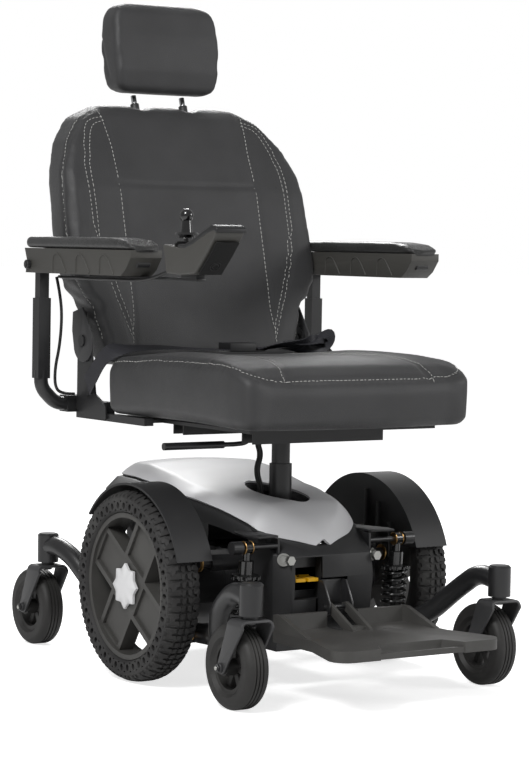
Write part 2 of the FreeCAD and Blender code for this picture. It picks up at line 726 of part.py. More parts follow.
def fork_and_caster(name, side, barrel_x, barrel_y):
    """Trailing caster: bent-plate fork with its stem and axle, and a wheel."""
    x = side * barrel_x
    axle = (barrel_y + caster_trail, caster_radius)
    half = fork_inner + fork_plate
    bend = 12
    fork = "%s_fork_%s" % (name, "right" if side < 0 else "left")
    strap = pad(fork + "_strap", "XZ",
                [(x - half, 56), (x - fork_inner, 56), (x - fork_inner, fork_top_z - bend, -7),
                 (x - half + bend, fork_top_z - fork_plate),
                 (x + half - bend, fork_top_z - fork_plate, -7),
                 (x + fork_inner, fork_top_z - bend), (x + fork_inner, 56), (x + half, 56),
                 (x + half, fork_top_z - bend, 12), (x + half - bend, fork_top_z),
                 (x - half + bend, fork_top_z, 12), (x - half, fork_top_z - bend)],
                barrel_y - 30, barrel_y + 70)
    side_view = pad(fork + "_side", "YZ",
                    [(barrel_y - 20, 167), (barrel_y - 24, 150), (axle[0] - 14, axle[1] - 2, 15),
                     (axle[0] + 14, axle[1] - 2), (barrel_y + 26, 150), (barrel_y + 24, 167)],
                    x - half - 1, x + half + 1)
    plate = common(fork + "_plate", strap, side_view)
    hole = rod(fork + "_hole", caster_axle_radius, 2 * half + 4, (x - half - 2, *axle), x_axis)
    stem = rod(fork + "_stem", fork_stem_radius, barrel_top_z - fork_top_z - 6,
               (x, barrel_y, fork_top_z))
    washer = rod(fork + "_washer", 13, barrel_low_z - fork_top_z - 0.4, (x, barrel_y, fork_top_z))
    nut = rod(fork + "_nut", 8, 5, (x, barrel_y, fork_top_z - fork_plate - 5))
    post = join(fork + "_post", cut(fork + "_bored", plate, hole), stem, washer, nut)
    bolt = rod(fork + "_axle", caster_axle_radius, 2 * half, (x - half, *axle), x_axis)
    heads = [rod(fork + "_bolt_head", 8.5, 5, (x - half - 5, *axle), x_axis),
             rod(fork + "_bolt_nut", 8.5, 5, (x + half, *axle), x_axis)]
    node(group(fork, post, join(fork + "_bolt", bolt, *heads)))

    wheel = "%s_caster_%s" % (name, "right" if side < 0 else "left")
    shoulder = 13
    groove = 2.5
    low = (caster_radius - groove).number
    tread = [(caster_width - shoulder, caster_radius)]
    for centre in (30, 23, 16):
        tread += [(centre + 1.2, caster_radius), (centre + 0.6, low),
                  (centre - 0.6, low), (centre - 1.2, caster_radius)]
    tyre = turned(wheel + "_tyre",
                  [(6, caster_rim_radius), (caster_width - 6, caster_rim_radius),
                   (caster_width, caster_rim_radius + 6),
                   (caster_width, caster_radius - shoulder, shoulder)] + tread +
                  [(shoulder, caster_radius, shoulder), (0, caster_radius - shoulder),
                   (0, caster_rim_radius + 6)],
                  (x - caster_width / 2, *axle))
    rim_x = x - caster_width / 2 + 6
    rim = ring(wheel + "_rim", caster_rim_radius, caster_rim_radius - 7, caster_width - 12,
               (rim_x, *axle), x_axis)
    hub = rod(wheel + "_hub", 15, 2 * fork_inner - 2, (x - fork_inner + 1, *axle), x_axis)
    spokes = []
    for number in range(7):
        turn = Rotation(x_axis, number * 360 / 7)
        spoke = doc.addObject("Part::Box", "%s_spoke_%d" % (wheel, number))
        bind(spoke, "Length", 12)
        bind(spoke, "Width", 11)
        bind(spoke, "Height", caster_rim_radius - 3)
        corner = turn.multVec(Vector(0, -5.5, 0))
        place(spoke, x - 6, axle[0] + corner.y, axle[1] + corner.z, turn=turn)
        spokes.append(spoke)
    bore = rod(wheel + "_bore", caster_axle_radius + running_gap, 2 * fork_inner + 4,
               (x - fork_inner - 2, *axle), x_axis)
    node(group(wheel, tyre, cut(wheel + "_hub_cast",
                                join(wheel + "_hub_blank", rim, hub, *spokes), bore)))


# --- suspension ------------------------------------------------------------

def swing_arm(name, side, barrel_x, barrel_y, route, pivot_y, pivot_z):
    """Curved tube from the caster barrel to a sleeve on the chassis pin."""
    x = side * barrel_x
    barrel = rod(name + "_barrel", barrel_radius, barrel_top_z - barrel_low_z,
                 (x, barrel_y, barrel_low_z))
    stem_hole = rod(name + "_stem_hole", fork_stem_radius + running_gap,
                    barrel_top_z - barrel_low_z - 4, (x, barrel_y, barrel_low_z - 1))
    cap = cone(name + "_cap", barrel_radius + 0.5, barrel_radius - 3, 4,
               (x, barrel_y, barrel_top_z))
    pipe = tube(name + "_tube", arm_tube_radius, [(side * px, py, pz) for px, py, pz in route])
    start, end = mirrored_x(side, sleeve_inner_x, sleeve_outer_x)
    sleeve = rod(name + "_sleeve", sleeve_radius, end - start, (start, pivot_y, pivot_z), x_axis)
    pin_hole = rod(name + "_pin_hole", pivot_pin_radius + running_gap, end - start + 16,
                   (start - 8, pivot_y, pivot_z), x_axis)
    return join(name + "_welded", barrel, pipe, sleeve), [stem_hole, pin_hole], cap


def front_arm(side_name, side):
    name = "front_arm_" + side_name
    route = [(front_barrel_x, front_barrel_y, 199), (front_barrel_x - 3, -322, 208),
             (262, -262, 168), (238, -216, 121), (207, -172, 100),
             (204, front_pivot_y, front_pivot_z)]
    welded, holes, cap = swing_arm(name, side, front_barrel_x, front_barrel_y, route,
                                   front_pivot_y, front_pivot_z)
    start, end = mirrored_x(side, shock_x - shock_eye_width / 2 - 5, 205)
    lug = rod(name + "_shock_pin", shock_pin_radius, end - start,
              (start, shock_low_y, shock_low_z), x_axis)
    start, end = mirrored_x(side, shock_x + shock_eye_width / 2 + 1, 205)
    boss = rod(name + "_shock_boss", 8, end - start, (start, shock_low_y, shock_low_z), x_axis)
    return group(name, cut(name + "_frame", join(name + "_all", welded, lug, boss), *holes), cap)


def rear_arm(side_name, side):
    name = "rear_arm_" + side_name
    route = [(rear_barrel_x, rear_barrel_y, 200), (rear_barrel_x - 2, 398, 207),
             (222, 352, 189), (209, 298, 142), (204, 246, 108), (204, rear_pivot_y, rear_pivot_z)]
    welded, holes, cap = swing_arm(name, side, rear_barrel_x, rear_barrel_y, route,
                                   rear_pivot_y, rear_pivot_z)
    return group(name, cut(name + "_frame", welded, *holes), cap)


def shock_frame():
    """Unit vector up the shock, and its length between eyes."""
    top = Vector(0, shock_top_y.number, shock_top_z.number)
    low = Vector(0, shock_low_y.number, shock_low_z.number)
    span = top - low
    return span.normalize(), (top - low).Length


def shock_point(side, distance):
    """A point this far down the shock from its top eye."""
    up, length = shock_frame()
    return (side * shock_x, shock_top_y - up.y * distance, shock_top_z - up.z * distance)


def shock_body(side_name, side):
    """Top eye, damper body and threaded collar."""
    up, length = shock_frame()
    name = "shock_body_" + side_name
    down = up * -1
    eye_x = side * shock_x - shock_eye_width / 2
    eye = rod(name + "_eye", 11, shock_eye_width, (eye_x, shock_top_y, shock_top_z), x_axis)
    eye_hole = rod(name + "_eye_hole", shock_pin_radius + running_gap, shock_eye_width + 4,
                   (eye_x - 2, shock_top_y, shock_top_z), x_axis)
    neck = rod(name + "_neck", 7, 22, shock_point(side, 8), down)
    can = rod(name + "_can", 14, 62, shock_point(side, 24), down)
    collar = rod(name + "_collar", 25, 5, shock_point(side, 50), down)
    damper_hole = rod(name + "_rod_hole", 6, 46, shock_point(side, 44), down)
    return cut(name, join(name + "_all", eye, neck, can, collar), eye_hole, damper_hole)


def shock_rod(side_name, side):
    """Damper rod with its lower eye and spring seat."""
    up, length = shock_frame()
    name = "shock_rod_" + side_name
    down = up * -1
    eye_x = side * shock_x - shock_eye_width / 2
    eye = rod(name + "_eye", 11, shock_eye_width, (eye_x, shock_low_y, shock_low_z), x_axis)
    eye_hole = rod(name + "_eye_hole", shock_pin_radius + 1.3, shock_eye_width + 4,
                   (eye_x - 2, shock_low_y, shock_low_z), x_axis)
    shaft = rod(name + "_shaft", 5.6, length - 66 - 8, shock_point(side, 66), down)
    seat = rod(name + "_seat", 25, 5, shock_point(side, length - 18), down)
    return cut(name, join(name + "_all", eye, shaft, seat), eye_hole)


def shock_spring(side_name, side):
    """Coil spring between the collar and the lower seat."""
    up, length = shock_frame()
    start = 55 + coil_wire.number + 0.4
    run = length - 18 - start - coil_wire.number - 0.4
    helix = Part.makeHelix(run / coil_turns.number, run, coil_radius.number)
    begin = Vector(coil_radius.number, 0, 0)
    section = Part.Wire([Part.Circle(begin, Vector(0, 1, 0), coil_wire.number).toShape()])
    coil = Part.Wire(helix).makePipeShell([section], True, True)
    thing = doc.addObject("Part::Feature", "shock_spring_" + side_name)
    thing.Shape = coil
    x, y, z = shock_point(side, start + run)
    thing.Placement = FreeCAD.Placement(Vector(float(x), float(y) + axle_y.number, float(z)),
                                        Rotation(z_axis, up))
    return thing


# --- seat ------------------------------------------------------------------

def seat_post():
    """Lower post tube; pinned in the chassis socket at one of several heights."""
    post = ring("post_tube", post_outer_radius, post_inner_radius + running_gap,
                post_top_z - 130, (0, post_y, 130))
    holes = [rod("height_hole_%d" % number, 4, 60, (-30, post_y, 250 + 25 * number), x_axis)
             for number in range(3)]
    return cut("seat_post", post, *holes)


def seat_frame():
    """Stem, cross rails, side rails, pan, recliner brackets and arm sockets."""
    stem = rod("seat_stem", post_inner_radius, seat_rail_low_z - 200, (0, post_y, 200))
    flange = rod("stem_flange", 50, 8, (0, post_y, seat_rail_low_z + 13))
    neck = rod("stem_neck", post_inner_radius, 22, (0, post_y, seat_rail_low_z - 1))
    top = block("rail_top", (-seat_rail_half, -180, seat_pan_z - 6),
                (seat_rail_half, 100, seat_pan_z))
    pieces = [stem, neck, flange, top]
    for label, y in (("front", -180), ("rear", 62)):
        outer = block("cross_rail_" + label, (-seat_rail_half, y, seat_rail_low_z),
                      (seat_rail_half, y + 38, seat_pan_z - 5))
        inner = block("cross_rail_gap_" + label,
                      (-seat_rail_half - 1, y + 3, seat_rail_low_z - 1),
                      (seat_rail_half + 1, y + 35, seat_pan_z - 9))
        pieces.append(cut("cross_channel_" + label, outer, inner))
    pieces.append(block("seat_pan_front", (-206, -262, seat_pan_z - 0.5),
                        (206, 60, seat_pan_z + 6)))
    pieces.append(block("seat_pan_rear", (-236, 40, seat_pan_z - 0.5),
                        (236, 172, seat_pan_z + 6)))
    pieces.append(rod("lever_pivot", 3, 34, (-60, -68, 459), y_axis))
    for label, y in (("front", -68), ("rear", -40)):
        pieces.append(block("lever_lug_" + label, (-66, y, 453), (-54, y + 6, seat_pan_z - 5)))
    for side_name, side in sides.items():
        x = mirrored_x(side, 226, 246)
        rail = block("side_rail_" + side_name, (x[0], 40, seat_pan_z - 6),
                     (x[1], 268, seat_pan_z + 8))
        x = mirrored_x(side, 226, plate_inner_x)
        heel = block("side_heel_" + side_name, (x[0], 186, seat_pan_z - 6),
                     (x[1], 300, seat_pan_z + 30))
        bracket = pad("recliner_bracket_" + side_name, "YZ",
                      [(178, 474), (262, 474), (296, 488), (292, 520), (recline_y + 26, recline_z, 26),
                       (recline_y - 26, recline_z), (222, 520), (180, 500)],
                      *mirrored_x(side, plate_inner_x - 0.5, plate_inner_x + plate_thickness))
        x = mirrored_x(side, plate_inner_x - 3, plate_inner_x + 2 * plate_thickness + 4)
        disc = rod("recliner_disc_" + side_name, 11, x[1] - x[0],
                   (x[0], recline_y, recline_z), x_axis)
        x = mirrored_x(side, 205, 268)
        receiver = block("arm_receiver_" + side_name, (x[0], 296, arm_elbow_z - 16),
                         (x[1], 330, arm_elbow_z + 16))
        elbow = tube("arm_elbow_" + side_name, 13.5,
                     [(side * 250, arm_post_y, arm_elbow_z), (side * 286, arm_post_y, arm_elbow_z),
                      (side * 319, arm_post_y, arm_elbow_z + 32),
                      (side * 319, arm_post_y, arm_elbow_z + 66)])
        socket = block("arm_socket_" + side_name,
                       (side * arm_post_x - arm_socket_half, arm_post_y - arm_socket_half,
                        arm_elbow_z + 50),
                       (side * arm_post_x + arm_socket_half, arm_post_y + arm_socket_half,
                        arm_socket_z))
        bore = block("arm_socket_bore_" + side_name,
                     (side * arm_post_x - arm_post_half - 0.35, arm_post_y - arm_post_half - 0.35,
                      arm_elbow_z + 66),
                     (side * arm_post_x + arm_post_half + 0.35, arm_post_y + arm_post_half + 0.35,
                      arm_socket_z + 1))
        x = mirrored_x(side, plate_inner_x + plate_thickness - 0.5, 257)
        anchor = rod("belt_anchor_" + side_name, 13, x[1] - x[0], (x[0], 238, 530), x_axis)
        made = join("seat_side_" + side_name, heel, rail, bracket, disc, receiver, elbow, socket,
                    anchor)
        pieces.append(cut("seat_side_cut_" + side_name, made, bore))
    return join("seat_frame", *pieces)


def seat_cushion():
    side_view = [(seat_rear_y, seat_low_z), (seat_rear_y, 574), (165, 590), (128, 597), (0, 603),
                 (-186, 606), (-280, 600), (-312, 580), (seat_front_y, 545), (-310, seat_low_z)]
    round_front = 62
    round_rear = 26
    low = seat_front_y
    high = seat_rear_y
    plan = [(-seat_half, low + round_front, 62), (round_front - seat_half, low),
            (seat_half - round_front, low, 62), (seat_half, low + round_front),
            (seat_half, high - round_rear, 26), (seat_half - round_rear, high),
            (round_rear - seat_half, high, 26), (-seat_half, high - round_rear)]
    return common("seat_cushion", pad("seat_side", "YZ", side_view, -seat_half, seat_half),
                  pad("seat_plan", "XY", plan, 470, 640))


def lap_belt():
    """Webbing from both anchors over the back of the cushion."""
    made = []
    for side_name, side, inner in (("right", -1, -8), ("left", 1, 62)):
        x = mirrored_x(side, 258.2, 261)
        drop = pad("belt_drop_" + side_name, "YZ",
                   [(218, 528), (250, 548), (170, 602), (128, 602)], *x)
        x = mirrored_x(side, inner, 261)
        top = block("belt_top_" + side_name, (x[0], 128, 599), (x[1], 170, 602))
        made.append(join("belt_" + side_name, drop, top))
    return group("lap_belt", *made)


def belt_buckle():
    case = block("buckle_case", (-2, 126, 602.5), (58, 172, 620))
    well = block("buckle_well", (34, 138, 606), (59, 160, 617))
    tongue = block("buckle_tongue", (58.5, 134, 602.5), (84, 164, 606))
    return group("belt_buckle", cut("buckle_shell", case, well), tongue)


def swivel_lever():
    """Pull-up lever that frees the seat's swivel lock."""
    bar = tube("lever_bar", 4.5, [(-62, -51, 458), (-76, -51, 441), (-100, -51, 439),
                                  (-128, -51, 439)])
    grip = rod("lever_grip", 7, 130, (-258, -51, 439), x_axis)
    hub = rod("lever_hub", 7, 14, (-60, -58, 459), y_axis)
    hole = rod("lever_hole", 3 + running_gap, 20, (-60, -61, 459), y_axis)
    return cut("swivel_lever", join("lever_all", bar, grip, hub), hole)


def controller_cable():
    """Lead from the right arm down to the seat rail, and on to the base."""
    drop = tube("cable_drop", cable_radius,
                [(-296, 300, 742), (-293, 287, 705), (-292, 281, 660), (-296, 284, 610),
                 (-302, 289, 565), (-299, 291, 536), (-280, 290, 520), (-258, 284, 517)])
    base = tube("cable_base", cable_radius + 1.5,
                [(-22, -26, 459), (-28, -22, 435), (-27, -25, 408), (-29, -27, 378),
                 (-23, -28, 350), (-22, -31, 320)])
    plug = rod("cable_plug", 9, 26, (-28, -24, 366))
    return group("controller_cable", drop, join("cable_bundle", base, plug))


def post_line(z):
    """How far back the headrest posts' centre line is at height z."""
    return 419 + (z - 1100) * math.tan(math.radians(back_lean.number))


def back_cushion():
    """Reclined back with a forward crown, narrower at the top and bottom."""
    side_view = [(211, 574), (258, 780), (294, 920), (333, 1005), (366, 1066), (386, 1086),
                 (412, 1092), (436, 1084), (446, 1062), (410, 930), (372, 800), (340, 690),
                 (316, 610), (296, 572)]
    right = [(-212, 572), (-236, 660), (-240, 690), (-256, 708), (-back_half, 760),
             (-back_half, 850), (-262, 950), (-246, 1010), (-214, 1058), (-160, 1086),
             (-90, 1096)]
    front_view = right + [(-x, z) for x, z in reversed(right)]
    front_view = front_view[::-1]
    blank = common("back_blank", pad("back_side", "YZ", side_view, -280, 280),
                   pad("back_front", "XZ", front_view, 180, 480))
    lean = math.radians(back_lean.number)
    down = Vector(0, -math.sin(lean), -math.cos(lean))
    wells = [rod("post_well_" + name, 9.2, 230,
                 (side * headrest_post_x, post_line(1120), 1120), down)
             for name, side in sides.items()]
    return cut("back_cushion", blank, *wells)


def back_frame():
    """Outer recliner plates and the headrest post guides."""
    made = []
    lean = math.radians(back_lean.number)
    down = Vector(0, -math.sin(lean), -math.cos(lean))
    for side_name, side in sides.items():
        x = mirrored_x(side, plate_inner_x + plate_thickness + 0.5,
                       plate_inner_x + 2 * plate_thickness + 0.5)
        plate = pad("recliner_plate_" + side_name, "YZ",
                    [(recline_y + 33, 602), (recline_y + 42, 640), (recline_y + 40, 676),
                     (recline_y + 2, 686), (recline_y - 36, 634), (recline_y - 37, 606, 37.5)],
                    *x)
        hole = rod("recliner_hole_" + side_name, 11 + running_gap, 8,
                   (x[0] - 2, recline_y, recline_z), x_axis)
        x = mirrored_x(side, 241, plate_inner_x + plate_thickness + 1)
        studs = [rod("plate_stud_%s_%d" % (side_name, number), 6, x[1] - x[0],
                     (x[0], recline_y + dy, recline_z + dz), x_axis)
                 for number, (dy, dz) in enumerate(((12, 52), (30, 44)))]
        made.append(join("recliner_upper_" + side_name, cut("recliner_cut_" + side_name, plate, hole),
                         *studs))
    for side_name, side in sides.items():
        made.append(ring("post_guide_" + side_name, 8.8, headrest_post_radius + 0.3, 60,
                         (side * headrest_post_x, post_line(1092), 1092), down))
    return group("back_frame", *made)


def headrest_pad():
    side_view = [(378, 1122), (372, 1160), (380, 1230), (392, 1280), (410, 1296), (432, 1296),
                 (448, 1280), (452, 1230), (446, 1160), (438, 1122), (424, 1112), (392, 1112)]
    right = [(-100, 1112), (-122, 1122), (-127, 1150), (-headrest_half, 1200), (-129, 1262),
             (-116, 1288), (-84, 1297)]
    front_view = (right + [(-x, z) for x, z in reversed(right)])[::-1]
    return common("headrest_pad", pad("headrest_side", "YZ", side_view[::-1], -140, 140),
                  pad("headrest_front", "XZ", front_view, 340, 480))


def headrest_posts():
    lean = math.radians(back_lean.number)
    down = Vector(0, -math.sin(lean), -math.cos(lean))
    made = [rod("headrest_post_" + name, headrest_post_radius, 150,
                (side * headrest_post_x, post_line(1109), 1109), down)
            for name, side in sides.items()]
    return group("headrest_posts", *made)


# --- arms and controller ---------------------------------------------------

def arm_post(side_name, side):
    """Inner post that slides in the socket, with the arm's hinge eye on top."""
    x = side * arm_post_x
    name = "arm_post_" + side_name
    tube_box = block(name + "_tube", (x - arm_post_half, arm_post_y - arm_post_half, 575),
                     (x + arm_post_half, arm_post_y + arm_post_half, arm_pivot_z - 6))
    start = x - arm_post_half
    eye = rod(name + "_eye", 13, 2 * arm_post_half, (start, arm_post_y, arm_pivot_z), x_axis)
    bolt = rod(name + "_bolt", 5, 76, (x - 38, arm_post_y, arm_pivot_z), x_axis)
    return join(name, tube_box, eye, bolt)


def arm_shell(side_name, side):
    """Hollow-backed arm moulding with two cheeks round the post."""
    name = "arm_shell_" + side_name
    x = side * arm_x
    profile = [(332, 799.6), (322, 776), (arm_post_y + 14, 752, ), (arm_post_y - 20, 752),
               (270, 752), (-40, 752), (-58, 764), (-76, 786), (-76, 799.6)]
    solid = pad(name + "_block", "YZ", profile[::-1], x - arm_half, x + arm_half)
    post_x = side * arm_post_x
    gap = block(name + "_gap", (post_x - arm_post_half - 2, arm_post_y - 32, 745),
                (post_x + arm_post_half + 2, arm_post_y + 32, 801))
    hole = rod(name + "_hole", 5 + running_gap, 120, (post_x - 60, arm_post_y, arm_pivot_z), x_axis)
    return cut(name, solid, gap, hole)


def arm_pad(side_name, side):
    name = "arm_pad_" + side_name
    x = side * arm_x
    side_view = [(335, pad_low_z), (338, 812), (328, pad_top_z), (0, pad_top_z), (-48, 818),
                 (-80, 806), (-84, 796), (-77, 789.8), (-77, pad_low_z)]
    plan = [(x - pad_half, -64, 22), (x - pad_half + 20, -84), (x + pad_half - 20, -84, 22),
            (x + pad_half, -64), (x + pad_half, 318, 22), (x + pad_half - 20, 338),
            (x - pad_half + 20, 338, 22), (x - pad_half, 318)]
    return common(name, pad(name + "_side", "YZ", side_view[::-1], x - pad_half, x + pad_half),
                  pad(name + "_plan", "XY", plan, 780, 830))


def controller_housing():
    """Swept-up controller body on a bar from the right arm."""
    x = controller_x
    profile = [(-150, 814), (-168, 757), (-262, 758), (-336, 829), (-334, 841), (-320, 846),
               (-295, 834), (-228, 811)]
    shell = pad("controller_body", "YZ", profile, x - controller_half, x + controller_half)
    well = rod("stick_well", 20, 25, (x, stick_y, 797))
    bar = block("controller_bar", (x - 9, -262, 746), (x + 9, 150, 752))
    link = block("controller_link", (x - 9, -240, 751), (x + 9, -180, 758))
    holes = [rod(name + "_hole", radius + 0.5, 14, control_point(offset, y, z, 2),
                 control_up * -1) for name, offset, y, z, radius in controls]
    lead = tube("controller_lead", cable_radius,
                [(-312, -163, 766), (-315, -132, 757), (-318, -90, 747), (-319, -30, 744),
                 (-321, 40, 745), (-319, 110, 743.5), (-318, 180, 745), (-312, 235, 744),
                 (-302, 276, 745)])
    housing = join("controller_body_all", cut("controller_cut", shell, well, *holes), bar, link)
    return group("controller_housing", housing, lead)


# buttons and dial on the raised front of the controller: name, sideways
# offset, the point on the surface, and radius
controls = (("power_button", -14, -308, 840.2, 4.8), ("horn_button", 14, -308, 840.2, 4.8),
            ("speed_dial", 0, -268, 824.7, 9.8))
control_up = Vector(0, 0.42, 0.9075)


def control_point(offset, y, z, rise):
    """A point this far above the controller's surface, along its normal."""
    return (controller_x + offset, y + control_up.y * rise, z + control_up.z * rise)


def top_control(name, offset, y, z, radius):
    height = 9 if radius < 6 else 12
    return rod(name, radius, height, control_point(offset, y, z, -6), control_up)


def joystick_gimbal():
    """Gimbal ring and boot under the stick."""
    low = ring("gimbal_ring", 13, 8.2, 4, (controller_x, stick_y, stick_pivot_z - 2))
    pins = rod("gimbal_pins", 1.8, 38, (controller_x - 19, stick_y, stick_pivot_z), x_axis)
    hub = rod("gimbal_gap", 8.2, 12, (controller_x, stick_y, stick_pivot_z - 6))
    return cut("joystick_gimbal", join("gimbal_all", low, pins), hub)


def joystick_knob():
    """Stick with a skirt, a waist and a ball top."""
    x = controller_x
    stick = rod("stick_shaft", 4.5, 20, (x, stick_y, stick_pivot_z - 6))
    cross = rod("stick_cross", 1.8, 15, (x, stick_y - 7.5, stick_pivot_z), y_axis)
    boot = cone("stick_boot", 16, 14, 7, (x, stick_y, stick_pivot_z + 7.5))
    skirt = cone("stick_skirt", 24, 20, 4, (x, stick_y, stick_pivot_z + 14))
    waist = cone("stick_waist", 11, 8.5, 26, (x, stick_y, stick_pivot_z + 17))
    top = ball("stick_ball", 12.6, (x, stick_y, stick_pivot_z + 48))
    return join("joystick_knob", stick, cross, boot, skirt, waist, top)


# --- footplate and freewheel levers ----------------------------------------

def footplate():
    """Moulded tray that hangs from two hinge bars and flips up."""
    low = foot_low_z
    top = low + foot_thickness
    corner = 30
    right = [(-146, foot_rear_y), (-148, -385), (-178, -480), (-178, foot_front_y + corner, corner),
             (corner - 178, foot_front_y), (-92, foot_front_y), (-70, foot_front_y + 42)]
    left = [(178 - corner, foot_front_y, corner), (178, foot_front_y + corner), (178, -480),
            (148, -385), (146, foot_rear_y)]
    points = right + [(70, foot_front_y + 42), (92, foot_front_y)] + left
    plate = pad("foot_board", "XY", points, low, top)
    lip = block("foot_lip", (-95, foot_front_y + 2, low + 1), (95, foot_front_y + 9, low + 11))
    rim_side = [(-257, low + 8), (-257, 148), (-276, 148), (-366, top + 1), (-366, low + 8)]
    pieces = [plate, lip]
    for side_name, side in sides.items():
        pieces.append(pad("foot_rim_" + side_name, "YZ", rim_side, *mirrored_x(side, 136, 146)))
        pieces.append(block("foot_rear_" + side_name,
                            (mirrored_x(side, 34, 146)[0], -266, low + 8),
                            (mirrored_x(side, 34, 146)[1], -256, 147)))
        bar = pad("foot_bar_" + side_name, "YZ",
                  [(hinge_y + 8, hinge_z - 3), (hinge_y + 7, hinge_z + 6), (hinge_y - 5, hinge_z + 9),
                   (-330, top + 4), (-330, top - 4), (-306, top - 4), (hinge_y - 12, hinge_z - 14)],
                  *mirrored_x(side, 15, 22))
        pieces.append(bar)
    pieces.append(block("foot_bar_floor", (-20, -318, top - 2), (20, -296, top + 6)))
    pin_hole = rod("foot_pin_hole", hinge_pin_radius + running_gap, 80, (-40, hinge_y, hinge_z), x_axis)
    notch = block("foot_notch", (-33, -300, low - 1), (33, foot_rear_y + 1, top + 40))
    board = cut("foot_tray", join("foot_moulding", *pieces[:2], *[piece for piece in pieces[2:]
                                                                  if "bar" not in piece.Name]), notch)
    bars = [piece for piece in pieces if "foot_bar" in piece.Name]
    return cut("footplate", join("foot_all", board, *bars), pin_hole)


def freewheel_lever(side_name, start):
    """Yellow brake-release lever in the nose recess."""
    name = "freewheel_lever_" + side_name
    tab = block(name + "_tab", (start, -226, lever_z - 3), (start + 22, -190, lever_z + 3))
    hub = rod(name + "_hub", 6, 22, (start, lever_y, lever_z), x_axis)
    hole = rod(name + "_hole", 3 + running_gap, 26, (start - 2, lever_y, lever_z), x_axis)
    return cut(name, join(name + "_all", tab, hub), hole)


# --- the chair -------------------------------------------------------------

node(chassis_frame())
node(base_shroud())
node(top_cover())
node(fenders())
node(drive_motors())
node(power_pack())
node(footplate_bracket())
node(base_fasteners())
node(pivot_bushes())
for side_name, side in sides.items():
    node(drive_tyre(side_name, side))
    node(drive_rim(side_name, side))
    node(hub_cap(side_name, side))
    node(front_arm(side_name, side))
    node(rear_arm(side_name, side))
    fork_and_caster("front", side, front_barrel_x, front_barrel_y)
    fork_and_caster("rear", side, rear_barrel_x, rear_barrel_y)
    node(shock_body(side_name, side))
    node(shock_rod(side_name, side))
    node(shock_spring(side_name, side))
    node(arm_post(side_name, side))
    node(arm_shell(side_name, side))
    node(arm_pad(side_name, side))
node(seat_post())
node(seat_frame())
node(seat_cushion())
node(lap_belt())
node(belt_buckle())
node(block("buckle_button", (42, 139, 607), (60.5, 159, 616)))
node(swivel_lever())
node(controller_cable())
node(back_cushion())
node(back_frame())
node(headrest_pad())
node(headrest_posts())
node(controller_housing())
node(joystick_gimbal())
node(joystick_knob())
for control in controls:
    node(top_control(*control))
node(footplate())
node(freewheel_lever("right", -78))
node(freewheel_lever("left", -50))

doc.recompute()
failed = [thing.Label for thing in doc.Objects
          if "Invalid" in thing.State or "Error" in thing.State]
if failed:
    raise SystemExit("failed objects: %s" % failed)
os.makedirs("parts", exist_ok=True)
for thing in nodes:
    shape = thing.Shape
    if shape.isNull() or not shape.isValid():
        raise SystemExit("bad shape: " + thing.Label)
    if not shape.Solids or shape.Volume <= 0:
        raise SystemExit("no solid: " + thing.Label)
for thing in nodes:
    thing.Shape.exportStep("parts/%s.step" % thing.Label)
box = FreeCAD.BoundBox()
for thing in nodes:
    box.add(thing.Shape.BoundBox)
print("nodes %d, box x %.1f..%.1f y %.1f..%.1f z %.1f..%.1f" % (
    len(nodes), box.XMin, box.XMax, box.YMin, box.YMax, box.ZMin, box.ZMax))
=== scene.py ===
# %% [markdown]
# # A power wheelchair, dressed for a studio picture
# The engineering model arrives as a fixed frame: every steel and plastic part already has its place and its
# joints. This lesson gives each part its real finish, and replaces what engineering software draws stiffly
# (upholstery, tyres, webbing, cables, moulded panels) with soft or detailed pieces of the same size.

# %% Load the frame
import bpy
import bmesh
import json
import math
from mathutils import Vector, Matrix, Euler, noise
from mathutils.bvhtree import BVHTree


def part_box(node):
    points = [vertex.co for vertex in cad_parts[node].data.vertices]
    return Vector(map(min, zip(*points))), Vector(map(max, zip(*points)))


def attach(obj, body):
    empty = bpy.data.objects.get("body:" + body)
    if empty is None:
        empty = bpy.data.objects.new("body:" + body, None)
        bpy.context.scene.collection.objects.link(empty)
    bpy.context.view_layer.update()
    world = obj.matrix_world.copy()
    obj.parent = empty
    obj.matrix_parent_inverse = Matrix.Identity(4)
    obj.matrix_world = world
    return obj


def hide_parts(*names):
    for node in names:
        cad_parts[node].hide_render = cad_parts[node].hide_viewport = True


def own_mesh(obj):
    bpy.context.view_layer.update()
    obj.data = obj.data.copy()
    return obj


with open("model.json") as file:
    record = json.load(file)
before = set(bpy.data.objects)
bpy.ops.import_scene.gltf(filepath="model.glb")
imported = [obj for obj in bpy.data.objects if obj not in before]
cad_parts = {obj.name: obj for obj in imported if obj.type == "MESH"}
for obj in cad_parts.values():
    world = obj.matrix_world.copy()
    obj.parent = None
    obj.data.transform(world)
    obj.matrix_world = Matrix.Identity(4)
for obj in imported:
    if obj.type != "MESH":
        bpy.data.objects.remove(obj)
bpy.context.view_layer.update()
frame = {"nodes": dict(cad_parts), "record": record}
nodes = frame["nodes"]
SIDES = {"right": -1, "left": 1}
AXLE_Y = -0.018          # the drive axle lies a little in front of the middle
WHEEL_R = 0.178

# %% [markdown]
# ## Camera and light
# A long lens from a few metres away keeps the chair's uprights almost parallel, as a catalogue picture does.
# The camera is built from its own three directions, so that its small roll is explicit. The light is one big
# soft lamp from above on the left, a weaker one on the right, and a bright world that lifts the black parts.

